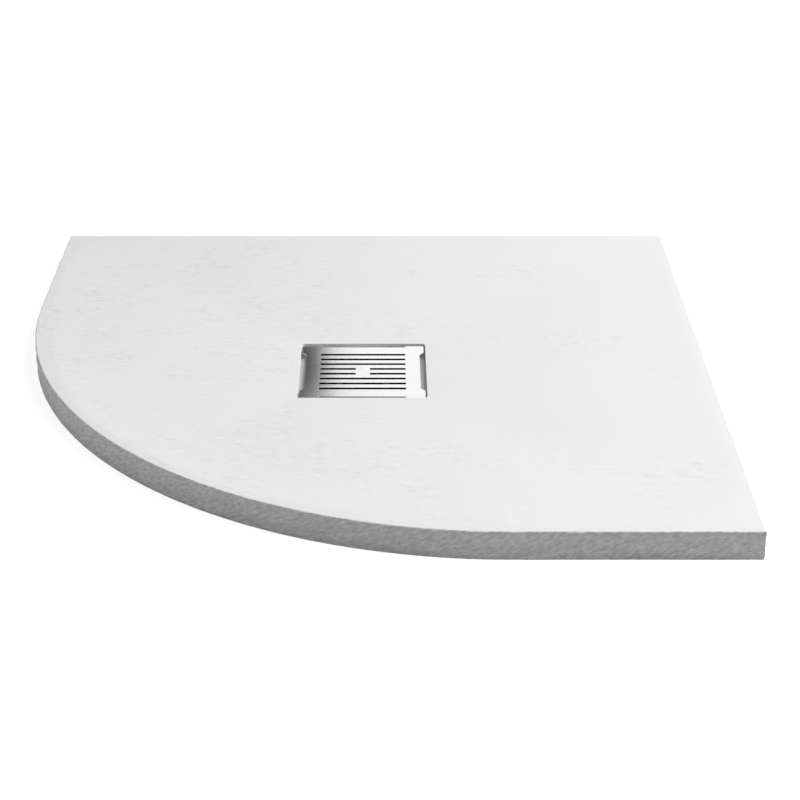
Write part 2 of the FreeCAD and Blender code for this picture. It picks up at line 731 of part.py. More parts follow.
def make_outlet():
    """Trap's outlet: a spigot welded on the cup's back, with the socket that takes the waste pipe."""
    body = new_body("trap_outlet")
    spigot = new_sketch(body, "outlet_plan", "XZ_Plane")
    add_circle(spigot, 0, s.outlet_z, s.outlet_radius)
    pad(body, spigot, "outlet", s.outlet_reach, reversed_=True)
    saddle = new_sketch(body, "saddle_plan", lift=s.outlet_z + s.outlet_radius)
    add_circle(saddle, 0, 0, s.cup_diameter / 2)
    pocket(body, saddle, "saddle", s.outlet_radius * 2)
    waterway = new_sketch(body, "waterway_plan", "XZ_Plane")
    add_circle(waterway, 0, s.outlet_z, s.outlet_bore / 2)
    pocket(body, waterway, "waterway", s.outlet_reach)
    pipe = new_sketch(body, "pipe_socket_plan", "XZ_Plane", lift=-s.outlet_reach)
    add_circle(pipe, 0, s.outlet_z, s.socket_radius)
    pocket(body, pipe, "pipe_socket", s.pipe_depth, reversed_=True)
    flare = new_sketch(body, "flare_section", "YZ_Plane", shift=s.outlet_z)
    mouth = s.socket_radius + s.mouth_flare
    corners = [(s.outlet_reach - s.mouth_flare, s.socket_radius), (s.outlet_reach, s.socket_radius),
               (s.outlet_reach, mouth)]
    add_loop(flare, corners)
    groove(body, flare, "mouth_flare", "H_Axis")
    return body


def make_deck():
    """Trap's deck: the flange under the tray, the dip tube's socket and four screw bosses."""
    body = new_body("trap_deck")
    bore = s.socket_bore / 2
    collar = bore + s.socket_wall
    collar_low = s.deck_top - s.socket_depth
    edge = s.deck_diameter / 2
    section = new_sketch(body, "deck_section", "XZ_Plane")
    corners = [(bore, collar_low), (collar, collar_low), (collar, s.deck_under),
               (edge, s.deck_under), (edge, s.deck_top), (bore, s.deck_top)]
    add_loop(section, corners)
    revolve(body, section, "deck")
    bosses = new_sketch(body, "boss_plan", lift=s.deck_top)
    pilots = new_sketch(body, "pilot_plan", lift=s.deck_top)
    for side_x, side_y in screw_places():
        add_circle(bosses, side_x, side_y, s.boss_diameter / 2)
        add_circle(pilots, side_x, side_y, s.screw_diameter / 2 + s.screw_grip_play)
    pad(body, bosses, "screw_bosses", s.boss_depth, reversed_=True)
    pocket(body, pilots, "pilot_holes", s.boss_depth - s.boss_floor)
    return body


def make_dip_tube():
    """Dip tube: it hangs in the trap's socket by its rim and keeps the water seal."""
    body = new_body("dip_tube")
    rim = s.rim_diameter / 2
    plug = s.socket_bore / 2 - s.plug_play
    ring_groove = s.socket_bore / 2 - s.ring_play * 2 - s.ring_section
    mouth = ring_groove - s.tube_wall
    tube = s.tube_diameter / 2
    rim_top = s.deck_top + s.rim_thickness
    plug_low = s.deck_top - s.plug_depth
    cone_low = plug_low - s.cone_height
    end = -s.tube_drop
    ring_z = s.deck_top - s.ring_drop
    ring_half = s.ring_section / 2 + s.ring_play
    section = new_sketch(body, "dip_tube_section", "XZ_Plane")
    corners = [(mouth, rim_top), (mouth, plug_low), (tube - s.tube_wall, cone_low),
               (tube - s.tube_wall, end), (tube, end), (tube, cone_low), (plug, plug_low),
               (plug, ring_z - ring_half), (ring_groove, ring_z - ring_half),
               (ring_groove, ring_z + ring_half), (plug, ring_z + ring_half),
               (plug, s.deck_top), (rim, s.deck_top), (rim, rim_top)]
    add_loop(section, corners)
    revolve(body, section, "dip_tube_shell")
    bar = new_sketch(body, "handle_plan", lift=rim_top - s.handle_height)
    reach = mouth + s.tube_wall / 2
    add_box(bar, -reach, -(s.handle_width / 2), reach, s.handle_width / 2)
    pad(body, bar, "lifting_bar", s.handle_height)
    return body


def make_seal_ring():
    """Give the rubber ring of square section in the dip tube's groove."""
    outer = s.socket_bore / 2 - s.ring_play
    low = s.deck_top - s.ring_drop - s.ring_section / 2
    return ring("dip_tube_seal", outer - s.ring_section, outer, low, s.ring_section)


# ---------------------------------------------------------------- the outlet's joint

def turned_on_outlet(label, name, corners):
    """Turn a half section of (distance from the drain, radius) corners about the outlet's axis."""
    body = new_body(label)
    section = new_sketch(body, name + "_section", "YZ_Plane", shift=s.outlet_z)
    add_loop(section, corners)
    revolve(body, section, name + "_turned", "H_Axis")
    return body


def make_nut():
    """Outlet nut: it presses the cone seal on the waste pipe; ribs round it for the hand."""
    start = s.outlet_reach - s.nut_overlap
    end = s.washer_end + s.nut_end
    pipe_hole = s.socket_radius + s.nut_bore_play
    corners = [(start, s.nut_bore), (s.washer_end, s.nut_bore), (s.washer_end, pipe_hole),
               (end, pipe_hole), (end, s.nut_radius), (start, s.nut_radius)]
    body = turned_on_outlet("outlet_nut", "nut", corners)
    bite = s.nut_wall / 2
    rib = new_sketch(body, "nut_rib_plan", "XZ_Plane", lift=-start)
    low = s.outlet_z + s.nut_radius - bite
    half = s.nut_rib_width / 2
    add_box(rib, -half, low, half, low + bite + s.nut_rib_height)
    first = pad(body, rib, "nut_rib", end - start, reversed_=True)
    doc.recompute()
    pattern = body.newObject("PartDesign::PolarPattern", "nut_ribs")
    pattern.Originals = [first]
    pattern.Axis = (body.getObject("nut_section"), ["H_Axis"])
    pattern.Angle = 360
    pattern.Occurrences = NUT_RIB_COUNT
    body.Tip = pattern
    return body


def make_cone_seal():
    """Cone seal: its nose fills the outlet's flared mouth, its collar lies against the mouth's face."""
    inner = s.socket_radius + s.seal_bore_play
    outer = s.outlet_radius - s.seal_play
    flare = s.socket_radius + s.mouth_flare - s.seal_play * 2
    nose = s.outlet_reach - (flare - inner)
    corners = [(nose, inner), (s.washer_start, inner), (s.washer_start, outer),
               (s.outlet_reach, outer), (s.outlet_reach, flare)]
    return turned_on_outlet("outlet_cone_seal", "cone_seal", corners)


def make_washer():
    """Slip washer: the nut turns on it, so that the seal doesn't twist."""
    inner = s.socket_radius + s.washer_bore_play
    outer = s.outlet_radius - s.seal_play
    corners = [(s.washer_start, inner), (s.washer_end, inner), (s.washer_end, outer), (s.washer_start, outer)]
    return turned_on_outlet("outlet_slip_washer", "slip_washer", corners)


# ---------------------------------------------------------------- build, check and write

def check_document():
    """Stop if any object of the document failed."""
    for item in doc.Objects:
        if "Invalid" in item.State or "Error" in item.State:
            raise RuntimeError("%s is in state %s" % (item.Label, item.State))


def write_piece(piece):
    """Check one piece's shape and write it under its own name."""
    shape = piece.Shape
    if shape.isNull() or not shape.isValid() or not shape.Solids:
        raise RuntimeError("%s has no valid shape" % piece.Label)
    shape.exportStep(os.path.join(PARTS_FOLDER, piece.Label + ".step"))
    box = shape.BoundBox
    print("%-20s solids %d  volume %10.1f  z %7.2f .. %7.2f"
          % (piece.Label, len(shape.Solids), shape.Volume, box.ZMin, box.ZMax))


doc = FreeCAD.newDocument("shower_tray")
size_sheet = doc.addObject("Spreadsheet::Sheet", "sizes")
s = Sizes(size_sheet)
doc.recompute()

pieces = [
    make_tray(),
    make_grate(),
    make_grate_pads(),
    make_strainer(),
    make_flange(),
    make_flange_seal(),
    make_screws(),
    make_cup(),
    make_outlet(),
    make_deck(),
    ring("trap_gasket", s.waste_hole / 2, s.trap_seal_diameter / 2, s.deck_top, s.trap_seal_thickness),
    make_dip_tube(),
    make_seal_ring(),
    make_nut(),
    make_cone_seal(),
    make_washer(),
]
doc.recompute()
check_document()
os.makedirs(PARTS_FOLDER, exist_ok=True)
for made in pieces:
    write_piece(made)
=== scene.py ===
"""Looks of a quadrant shower tray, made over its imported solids: stone, grate, waste and trap.

The file is laid out as an add-on and is run as a script.  Each operator makes one piece, in the
solids' own frame and in metres, and lets it ride with its body; the last one lays the floor,
lights and camera.
"""

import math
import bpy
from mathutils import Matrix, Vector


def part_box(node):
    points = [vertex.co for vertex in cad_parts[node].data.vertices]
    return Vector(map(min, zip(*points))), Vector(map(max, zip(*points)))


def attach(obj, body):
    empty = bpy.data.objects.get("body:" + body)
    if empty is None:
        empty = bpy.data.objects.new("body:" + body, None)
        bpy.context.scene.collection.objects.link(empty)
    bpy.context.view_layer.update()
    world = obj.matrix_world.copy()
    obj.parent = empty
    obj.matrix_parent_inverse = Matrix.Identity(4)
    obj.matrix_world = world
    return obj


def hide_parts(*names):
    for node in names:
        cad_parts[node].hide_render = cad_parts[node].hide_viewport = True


bl_info = {
    "name": "Quadrant Shower Tray",
    "version": (1, 0, 0),
    "blender": (4, 5, 0),
    "location": "View3D > Sidebar > Shower Tray",
    "description": "Makes a riven stone shower tray with its drain grate, waste and trap",
    "category": "Object",
}

import bmesh
import bpy
import numpy as np
from bpy.props import FloatProperty, FloatVectorProperty, IntProperty, PointerProperty
from mathutils import Matrix, Vector

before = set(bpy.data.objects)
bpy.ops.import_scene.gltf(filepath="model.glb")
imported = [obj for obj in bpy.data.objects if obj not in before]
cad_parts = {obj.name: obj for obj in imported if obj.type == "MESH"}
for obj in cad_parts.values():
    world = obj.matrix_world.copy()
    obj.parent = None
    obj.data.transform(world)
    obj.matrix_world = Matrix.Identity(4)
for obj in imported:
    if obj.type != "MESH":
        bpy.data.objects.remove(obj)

TRAY_LOW, TRAY_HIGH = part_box("tray_body")
GRATE_LOW, GRATE_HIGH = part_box("grate_plate")
SHOES_LOW, SHOES_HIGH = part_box("grate_pads")
STRAINER_LOW, STRAINER_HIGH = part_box("hair_strainer")
FLANGE_LOW, FLANGE_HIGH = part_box("waste_flange")
FOAM_LOW, FOAM_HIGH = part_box("flange_gasket")
SCREWS_LOW, SCREWS_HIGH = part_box("clamp_screws")
CUP_LOW, CUP_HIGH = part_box("trap_cup")
OUTLET_LOW, OUTLET_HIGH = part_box("trap_outlet")
DECK_LOW, DECK_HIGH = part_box("trap_deck")
GASKET_LOW, GASKET_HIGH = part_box("trap_gasket")
TUBE_LOW, TUBE_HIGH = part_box("dip_tube")
RING_LOW, RING_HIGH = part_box("dip_tube_seal")
NUT_LOW, NUT_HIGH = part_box("outlet_nut")
CONE_LOW, CONE_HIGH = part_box("outlet_cone_seal")
WASHER_LOW, WASHER_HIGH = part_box("outlet_slip_washer")
OUTLET_HEIGHT = (OUTLET_LOW.z + OUTLET_HIGH.z) / 2

SMOOTH_ANGLE = math.radians(32)
NORMAL_WEIGHT = 75
WELD_DISTANCE = 1e-7
# Marks on the stone's mesh: how cleft it is, from which its finish also paints shade and highlight,
# and the way round its edge.
CLEFT_MARKS = "cleft"
EDGE_RUN = "edge_run"
CLEFT_LEAN = math.radians(27)


# ---------------------------------------------------------------- sizes and colours

def length(name, description, default, low=0):
    """Declare a length in metres."""
    return FloatProperty(name=name, description=description, default=default, unit="LENGTH",
                         subtype="DISTANCE", precision=5, min=low)


def amount(name, description, default, low=0, **limits):
    """Declare a plain number."""
    return FloatProperty(name=name, description=description, default=default, min=low, **limits)


def degrees(name, description, default):
    """Declare an angle, given in degrees."""
    return FloatProperty(name=name, description=description, default=math.radians(default),
                         subtype="ANGLE", unit="ROTATION")


def whole(name, description, default, low):
    """Declare a whole number."""
    return IntProperty(name=name, description=description, default=default, min=low)


def location(name, description, default):
    """Declare a place or a direction in metres."""
    return FloatVectorProperty(name=name, description=description, default=default,
                               subtype="TRANSLATION", unit="LENGTH", size=3)


def colour(name, description, default):
    """Declare a colour."""
    return FloatVectorProperty(name=name, description=description, default=default,
                               subtype="COLOR", size=3, min=0, max=1)


class StoneSizes(bpy.types.PropertyGroup):
    """Sizes of the cast tray."""
    curve_radius: length("Curve radius", "Plan radius of the curved corner", 0.55)
    corner_round: length("Corner round", "Softening of the three upright corners", 0.0009)
    edge_roll: length("Edge roll", "Roll of the upper edge", 0.002)
    foot_roll: length("Foot roll", "Softening of the lower edge", 0.0006)
    rim_land: length("Rim land", "Level band round the rim", 0.012)
    fall_drop: length("Fall", "Fall from the rim to the drain's lip", 0.013)
    crease_blend: amount("Crease blend", "Width of the creases between the falls, as a part of "
                         "their distance from the drain", 0.35, 0.01, max=1)
    curve_blend: length("Curve blend", "Height over which the falls run into the curved corner's",
                        0.004)
    curve_run: length("Curve run", "Run of the steeper fall in the curved corner", 0.115)
    recess_side: length("Recess", "Side of the square recess", 0.148)
    recess_corner: length("Recess corner", "Plan radius of the recess's corners", 0.004)
    recess_floor: length("Recess floor", "Height of the recess's floor", 0.010)
    recess_fillet: length("Recess fillet", "Fillet round the recess's floor", 0.0012)
    lip_roll: length("Lip roll", "Softening of the recess's upper edge", 0.0006)
    lip_land: length("Lip land", "Level band round the recess", 0.001)
    hole_radius: length("Waste hole", "Radius of the waste's hole", 0.045)
    hole_ease: length("Hole ease", "Softening of the hole's edges", 0.0004)
    seat_radius: length("Seal seat", "Radius of the seat for the trap's gasket", 0.062)
    seat_depth: length("Seat depth", "Depth of that seat", 0.001)
    top_relief: length("Top relief", "Depth of the riven relief on the top", 0.0004)
    side_relief: length("Side relief", "Depth of the riven relief on the sides", 0.0017)
    side_points: whole("Points a side", "Mesh points along each of the four sides", 480, 40)
    fall_rings: whole("Fall rings", "Mesh rings from the drain to the rim", 104, 20)


class GrateSizes(bpy.types.PropertyGroup):
    """Sizes of the folded steel grate and its rubber shoes."""
    sheet: length("Sheet", "Thickness of the steel", 0.0015)
    corner: length("Corner", "Plan radius of the corners", 0.003)
    leg_width: length("Leg", "Width of each folded leg", 0.098)
    leg_relief: length("Leg relief", "Relief cut beside each leg", 0.001)
    leg_setback: length("Leg setback", "Leg's face behind the plate's edge", 0.003)
    bend_radius: length("Bend", "Outer radius of the fold", 0.0025)
    slot_length: length("Slot length", "Drain slot, end to end", 0.100)
    slot_width: length("Slot width", "Drain slot, side to side", 0.0048)
    slot_pitch: length("Slot pitch", "Drain slot to drain slot", 0.0132)
    slot_corner: length("Slot corner", "Rounding at the slots' corners", 0.0006)
    bridge: length("Bridge", "Plain patch across the two middle slots", 0.0166)
    notch_depth: length("Notch depth", "Finger notch, into the plate's side", 0.005)
    notch_inner: length("Notch bottom", "Finger notch, length at its bottom", 0.091)
    notch_outer: length("Notch mouth", "Finger notch, length at the plate's edge", 0.105)
    edge: length("Edge", "Softening of the cut edges", 0.0001)
    rows: whole("Rows a half", "Rows of slots in front of the middle, and behind it", 4, 1)
    shoe_length: length("Shoe length", "Rubber shoe along the leg", 0.016)
    shoe_foot: length("Shoe foot", "Rubber under the leg's edge", 0.001)
    shoe_play: length("Shoe play", "Play between rubber and steel", 0.00005)
    shoe_ease: length("Shoe ease", "Softening of the shoe's edges", 0.0004)


class WasteSizes(bpy.types.PropertyGroup):
    """Sizes of the waste in the recess: flange, foam seal, screws and strainer."""
    flange_corner: length("Flange corner", "Plan radius of the flange's corners", 0.008)
    flange_ease: length("Flange ease", "Softening of the flange's edges", 0.0004)
    throat: length("Throat", "Radius of the flange's throat", 0.031)
    rebate: length("Rebate", "Radius of the strainer's seat", 0.0335)
    rebate_depth: length("Rebate depth", "Depth of the strainer's seat", 0.0014)
    foam_bore: length("Foam bore", "Radius of the hole in the foam seal", 0.046)
    screw_circle: length("Screw circle", "Radius of the circle through the screws", 0.0385)
    head: length("Screw head", "Radius of the screw's head", 0.004)
    head_height: length("Head height", "Height of the screw's head", 0.0015)
    shank: length("Shank", "Radius of the screw's shank", 0.002)
    screw_play: length("Screw play", "Play round the screw in the flange", 0.00025)
    thread_pitch: length("Thread pitch", "Screw thread, turn to turn", 0.0014)
    cross_length: length("Cross", "Half length of the driver's cross", 0.0023)
    cross_width: length("Cross width", "Width of the driver's cross", 0.0009)
    cross_depth: length("Cross depth", "Depth of the driver's cross", 0.0009)
    basket: length("Basket", "Outer radius of the strainer's basket", 0.030)
    strainer_wall: length("Strainer wall", "Wall of the strainer", 0.0012)
    strainer_ease: length("Strainer ease", "Softening of the strainer's edges", 0.00035)
    slit_width: length("Slit width", "Radial slot in the basket's floor", 0.003)
    slit_length: length("Slit length", "Radial slot, end to end", 0.007)
    inner_circle: length("Inner circle", "Radius of the inner ring of slots", 0.012)
    outer_circle: length("Outer circle", "Radius of the outer ring of slots", 0.022)
    knob: length("Knob", "Radius of the lifting knob", 0.004)


class TrapSizes(bpy.types.PropertyGroup):
    """Sizes of the trap under the tray and of its outlet's joint."""
    cup_wall: length("Cup wall", "Wall of the cup", 0.003)
    cup_bevel: length("Cup bevel", "Round of the cup's bottom edge", 0.003)
    cup_radius: length("Cup radius", "Outer radius of the cup", 0.054)
    outlet_radius: length("Outlet", "Outer radius of the outlet", 0.024)
    socket_radius: length("Pipe socket", "Radius of the pipe socket", 0.0203)
    waterway: length("Waterway", "Radius of the outlet's waterway", 0.0175)
    pipe_depth: length("Pipe depth", "Mouth to the pipe's stop", 0.031)
    mouth_flare: length("Mouth flare", "Flare of the mouth for the cone seal", 0.003)
    outlet_pitch: length("Outlet thread", "Thread on the outlet, turn to turn", 0.003)
    outlet_thread: length("Thread depth", "Depth of the outlet's thread", 0.0008)
    socket_bore: length("Tube socket", "Radius of the dip tube's socket", 0.028)
    socket_wall: length("Socket wall", "Wall of that socket", 0.0025)
    deck_thickness: length("Deck", "Thickness of the trap's deck", 0.004)
    boss: length("Boss", "Radius of a screw boss", 0.0045)
    gasket_bore: length("Gasket bore", "Radius of the hole in the trap's gasket", 0.045)
    tube_radius: length("Dip tube", "Outer radius of the dip tube", 0.020)
    tube_wall: length("Tube wall", "Wall of the dip tube", 0.002)
    plug_radius: length("Plug", "Radius of the dip tube's plug", 0.0277)
    plug_depth: length("Plug depth", "Length of the plug under the rim", 0.012)
    plug_cone: length("Plug cone", "Height of the cone under the plug", 0.007)
    rim_thickness: length("Rim", "Thickness of the dip tube's rim", 0.002)
    handle_width: length("Bar width", "Width of the lifting bar", 0.005)
    handle_height: length("Bar height", "Height of the lifting bar", 0.004)
    groove_play: length("Groove play", "Play round the seal ring", 0.0001)
    nut_bore: length("Nut bore", "Radius of the nut's bore", 0.0243)
    nut_radius: length("Nut radius", "Radius of the nut between its ribs", 0.028)
    nut_end: length("Nut end", "End wall of the nut", 0.003)
    nut_hole: length("Nut hole", "Radius of the hole for the pipe", 0.0215)
    nut_rib: length("Nut rib", "Width of a grip rib", 0.004)
    seal_bore: length("Seal bore", "Radius of the cone seal's bore", 0.0209)
    washer_bore: length("Washer bore", "Radius of the slip washer's bore", 0.0212)


class Finishes(bpy.types.PropertyGroup):
    """Colours of the pieces."""
    stone: colour("Stone", "Cast stone", (0.80, 0.80, 0.795))
    steel: colour("Steel", "Brushed steel of the grate", (0.985, 0.985, 0.985))
    # The slots' walls are painted near black: painted shade for the inside of the slots.
    cut_edge: colour("Cut edge", "Burnt steel on the walls of the cut slots", (0.008, 0.008, 0.008))
    screw: colour("Screw", "Plated steel of the screws", (0.70, 0.70, 0.71))
    black_plastic: colour("Black plastic", "Flange and strainer", (0.008, 0.008, 0.008))
    foam: colour("Foam", "Foam seal", (0.045, 0.045, 0.047))
    rubber: colour("Rubber", "Gaskets, seal rings and shoes", (0.022, 0.022, 0.023))
    white_plastic: colour("White plastic", "Cup, deck and nut", (0.78, 0.78, 0.765))
    grey_plastic: colour("Grey plastic", "Dip tube", (0.42, 0.43, 0.44))
    washer: colour("Washer", "Slip washer", (0.72, 0.71, 0.66))


class StageSettings(bpy.types.PropertyGroup):
    """Floor, lights and camera."""
    floor_shade: amount("Floor shade", "Part of the light that the floor sends back", 0.5,
                        max=1, subtype="FACTOR")
    floor_glow: amount("Floor glow", "What lifts the floor to white for the eye", 0.81,
                       max=1, subtype="FACTOR")
    floor_half: length("Floor", "Floor's middle to its edge", 30.0)
    floor_inset: length("Floor inset", "Tray's edge to the opening in the floor", 0.05)
    ambient: amount("Ambient", "Even light from all round", 0.235)
    ceiling: amount("Ceiling", "How bright the ceiling is in a mirror", 0.12)
    walls_end: amount("Walls' end", "Sine of the angle up to which a mirror shows white", 0.55)
    ceiling_start: amount("Ceiling's start", "Sine of the angle where the ceiling starts", 0.95)
    overhead_power: amount("Overhead", "Power of the soft light above, in watts", 44)
    overhead_size: length("Overhead size", "Side of the soft light above", 2.2)
    overhead_place: location("Overhead place", "Place of the soft light above", (1.6, -0.1, 2.2))
    fill_power: amount("Fill", "Power of the low light at the left, in watts", 6)
    fill_size: length("Fill size", "Side of the low light at the left", 1.2)
    fill_place: location("Fill place", "Place of the low light at the left", (-2.6, -0.3, 0.7))
    fill_aim: location("Fill aim", "Direction in which that light shines", (2.4, 0.1, -0.7))
    window_strength: amount("Window", "Strength of the slanting light from the back right", 1.85)
    window_height: degrees("Window height", "Angle of that light above the floor", 40)
    window_turn: degrees("Window turn", "Angle of that light from the right side to the back", 14)
    window_softness: degrees("Window softness", "Apparent size of that light", 28)
    camera_across: length("Camera across", "Camera's place, to the right", 0.0219, -10)
    camera_front: length("Camera front", "Camera's place, in front of the drain", 2.0174)
    camera_height: length("Camera height", "Camera's height", 0.9695)
    camera_pitch: degrees("Camera pitch", "How far the camera looks down", 26.137)
    camera_lens: amount("Lens", "Focal length for a 36 mm sensor, in millimetres", 85.76, 10)
    camera_shift: amount("Shift", "Sideways shift of the frame", 0.0231, -1)
    card_edge: length("Card edge", "Right edge of the card that the grate mirrors", -0.059, -10)
    card_distance: length("Card distance", "Grate to the dark card", 0.6)
    card_size: length("Card size", "Width of the dark card and half its height", 1.6)
    card_glow: amount("Card glow", "How bright the dark card is", 0.03)


# ---------------------------------------------------------------- noise for the relief

class Noise:
    """Seeded gradient noise on a plane."""
    CELLS = 256
    SHIFT_X, SHIFT_Y = 17.3, 9.1

    def __init__(self, seed):
        source = np.random.default_rng(seed)
        order = source.permutation(self.CELLS)
        angle = source.uniform(0, 2 * math.pi, self.CELLS)
        self.order = np.concatenate([order, order])
        self.slope_x = np.cos(angle)
        self.slope_y = np.sin(angle)

    def at(self, x, y):
        """Give the noise at each place, from about -0.7 to 0.7."""
        cell_x = np.floor(x).astype(np.int64)
        cell_y = np.floor(y).astype(np.int64)
        last = self.CELLS - 1
        total = np.zeros_like(x)
        for step_x in (0, 1):
            for step_y in (0, 1):
                away_x = x - cell_x - step_x
                away_y = y - cell_y - step_y
                row = self.order[(cell_x + step_x) & last]
                pick = self.order[row + ((cell_y + step_y) & last)]
                height = self.slope_x[pick] * away_x + self.slope_y[pick] * away_y
                total += ease(1 - np.abs(away_x)) * ease(1 - np.abs(away_y)) * height
        return total

    def fractal(self, x, y, octaves, gain=0.5):
        """Add up finer and finer noise."""
        total = np.zeros_like(x)
        share = 1.0
        for octave in range(octaves):
            finer = 2 ** octave
            total += share * self.at(x * finer + self.SHIFT_X * octave,
                                     y * finer - self.SHIFT_Y * octave)
            share *= gain
        return total


def ease(value):
    """Smooth 0..1 at both ends."""
    value = np.clip(value, 0, 1)
    return value * value * value * (value * (value * 6 - 15) + 10)


def riven(noise, along, across, levels, sharp):
    """Give the height, 0..1, of cleft stone: flat flakes with short ragged steps between them."""
    wide, bent, swelling = 0.6, 0.9, 0.9
    shift_along, shift_across = 31, 12
    bend = noise.fractal(along * wide + shift_along, across * wide - shift_across, 3) * bent
    swell = noise.fractal(along + bend, across - bend, 5, gain=0.52)
    height = np.clip(swell * swelling + 0.5, 0, 1) * levels
    flake = np.floor(height)
    step = ease((height - flake - (1 - sharp)) / sharp)
    return (flake + step) / levels


# ---------------------------------------------------------------- mesh helpers

def placed(name, data):
    """Put data in the scene, as an object of that name."""
    thing = bpy.data.objects.new(name, data)
    bpy.context.scene.collection.objects.link(thing)
    return thing


def finished_mesh(thing):
    """Give an object's mesh with its modifiers or curve settings applied."""
    bpy.context.view_layer.update()
    shown = thing.evaluated_get(bpy.context.evaluated_depsgraph_get())
    return bpy.data.meshes.new_from_object(shown)


def mesh_object(name, points, faces):
    """Make an object of points and faces."""
    mesh = bpy.data.meshes.new(name)
    mesh.from_pydata([tuple(p) for p in points], [], faces)
    mesh.validate()
    return placed(name, mesh)


def edit(piece, change):
    """Change a piece's mesh with a function of its bmesh, then set its normals outwards."""
    shape = bmesh.new()
    shape.from_mesh(piece.data)
    change(shape)
    bmesh.ops.recalc_face_normals(shape, faces=shape.faces)
    shape.to_mesh(piece.data)
    shape.free()


def weld(shape):
    """Merge points that lie on each other."""
    bmesh.ops.remove_doubles(shape, verts=shape.verts, dist=WELD_DISTANCE)


def settle(piece, body, node, finish):
    """Give a piece its finish, smooth shading and body, and let it stand for its solid."""
    piece.data.materials.clear()
    piece.data.materials.append(finish)
    piece.data.shade_smooth()
    piece.data.set_sharp_from_angle(angle=SMOOTH_ANGLE)
    weighted = piece.modifiers.new("even_normals", "WEIGHTED_NORMAL")
    weighted.keep_sharp = True
    weighted.weight = NORMAL_WEIGHT
    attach(piece, body)
    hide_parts(node)


def join(name, pieces):
    """Join pieces into one object of that name."""
    shape = bmesh.new()
    for piece in pieces:
        shape.from_mesh(piece.data)
    mesh = bpy.data.meshes.new(name)
    shape.to_mesh(mesh)
    shape.free()
    for piece in pieces:
        bpy.data.objects.remove(piece)
    return placed(name, mesh)


def carve(piece, tool):
    """Cut a tool out of a piece."""
    modifier = piece.modifiers.new("carve", "BOOLEAN")
    modifier.solver = "EXACT"
    modifier.operation = "DIFFERENCE"
    modifier.object = tool
    mesh = finished_mesh(piece)
    piece.modifiers.clear()
    piece.data = mesh
    bpy.data.objects.remove(tool)


def rounded(corners, steps=4):
    """Round the corners of a closed outline; each corner is (first, second, radius).

    A rounding takes less than half of the lines beside it.
    """
    longest = 0.49
    points = []
    count = len(corners)
    for number, (first, second, radius) in enumerate(corners):
        here = Vector((first, second))
        before = Vector(corners[number - 1][:2]) - here
        after = Vector(corners[(number + 1) % count][:2]) - here
        turn = before.angle(after)
        if radius <= 0 or turn > math.pi - 1e-3:
            points.append(here)
            continue
        reach = min(radius / math.tan(turn / 2), before.length * longest, after.length * longest)
        radius = reach * math.tan(turn / 2)
        start = here + before.normalized() * reach
        end = here + after.normalized() * reach
        inward = (before.normalized() + after.normalized()).normalized()
        middle = here + inward * (radius / math.sin(turn / 2))
        spin = (start - middle).angle_signed(end - middle)
        for step in range(steps + 1):
            away = (start - middle).copy()
            away.rotate(Matrix.Rotation(-spin * step / steps, 2))
            points.append(middle + away)
    return points


def ring_grid(rings, segments):
    """Give the radius, height and angle of each point of rings of (radius, height)."""
    rings = np.array(rings)
    angle = np.linspace(0, 2 * math.pi, segments, endpoint=False)
    radius = np.repeat(rings[:, :1], segments, axis=1)
    height = np.repeat(rings[:, 1:], segments, axis=1)
    return radius, height, np.repeat(angle[None, :], len(rings), axis=0)


def turned(name, corners, segments=128, steps=4, outlet=False, shape_radius=None):
    """Turn a closed outline of (radius, height, rounding) corners.

    On the outlet, height runs to the back.  shape_radius may change the radius by the height and
    the angle.
    """
    rings = [(p.x, p.y) for p in rounded(corners, steps)]
    radius, height, around = ring_grid(rings, segments)
    if shape_radius is not None:
        radius = shape_radius(radius, height, around)
    across = radius * np.cos(around)
    other = radius * np.sin(around)
    if outlet:
        grid = np.stack([across, height, OUTLET_HEIGHT + other], axis=-1)
    else:
        grid = np.stack([across, other, height], axis=-1)
    piece = mesh_object(name, grid.reshape(-1, 3), ring_faces(len(rings), segments))
    edit(piece, weld)
    return piece


def ring_faces(rings, segments):
    """Give the faces between rings of points, round both ways."""
    ring = np.arange(rings)[:, None]
    place = np.arange(segments)[None, :]
    here = ring * segments + place
    beside = ring * segments + (place + 1) % segments
    above = (ring + 1) % rings * segments + (place + 1) % segments
    over = (ring + 1) % rings * segments + place
    return np.stack([here, beside, above, over], axis=-1).reshape(-1, 4).tolist()


def plate(name, outlines, low, high, edge):
    """Make a flat plate with softened edges.

    The first outline is the plate's edge, and the others are holes.
    """
    curve = bpy.data.curves.new(name, "CURVE")
    curve.dimensions = "2D"
    curve.fill_mode = "BOTH"
    curve.extrude = (high - low) / 2 - edge
    curve.bevel_depth = edge
    curve.bevel_resolution = 2
    curve.offset = -edge
    for outline in outlines:
        spline = curve.splines.new("POLY")
        spline.points.add(len(outline) - 1)
        for point, place in zip(spline.points, outline):
            point.co = (place[0], place[1], 0, 1)
        spline.use_cyclic_u = True
    flat = placed(name, curve)
    mesh = finished_mesh(flat)
    bpy.data.objects.remove(flat)
    mesh.transform(Matrix.Translation((0, 0, (low + high) / 2)))
    mesh.name = name
    piece = placed(name, mesh)
    edit(piece, weld)
    return piece


def circle(radius, count=96, across=0.0, along=0.0):
    """Give the points of a circle."""
    turns = [2 * math.pi * number / count for number in range(count)]
    return [(across + radius * math.cos(turn), along + radius * math.sin(turn)) for turn in turns]


def box_outline(low_x, low_y, high_x, high_y, radius, steps=4):
    """Give the points of a rectangle with rounded corners."""
    return rounded([(low_x, low_y, radius), (high_x, low_y, radius),
                    (high_x, high_y, radius), (low_x, high_y, radius)], steps)


def screw_places(circle_radius):
    """Give the middles of the four clamp screws, on the diagonals."""
    across = circle_radius * math.sqrt(0.5)
    return [(across, across), (-across, across), (-across, -across), (across, -across)]


# ---------------------------------------------------------------- finishes

def plain_shader(material):
    """Let a material use nodes, and give its shader."""
    material.use_nodes = True
    return next(node for node in material.node_tree.nodes if node.type == "BSDF_PRINCIPLED")


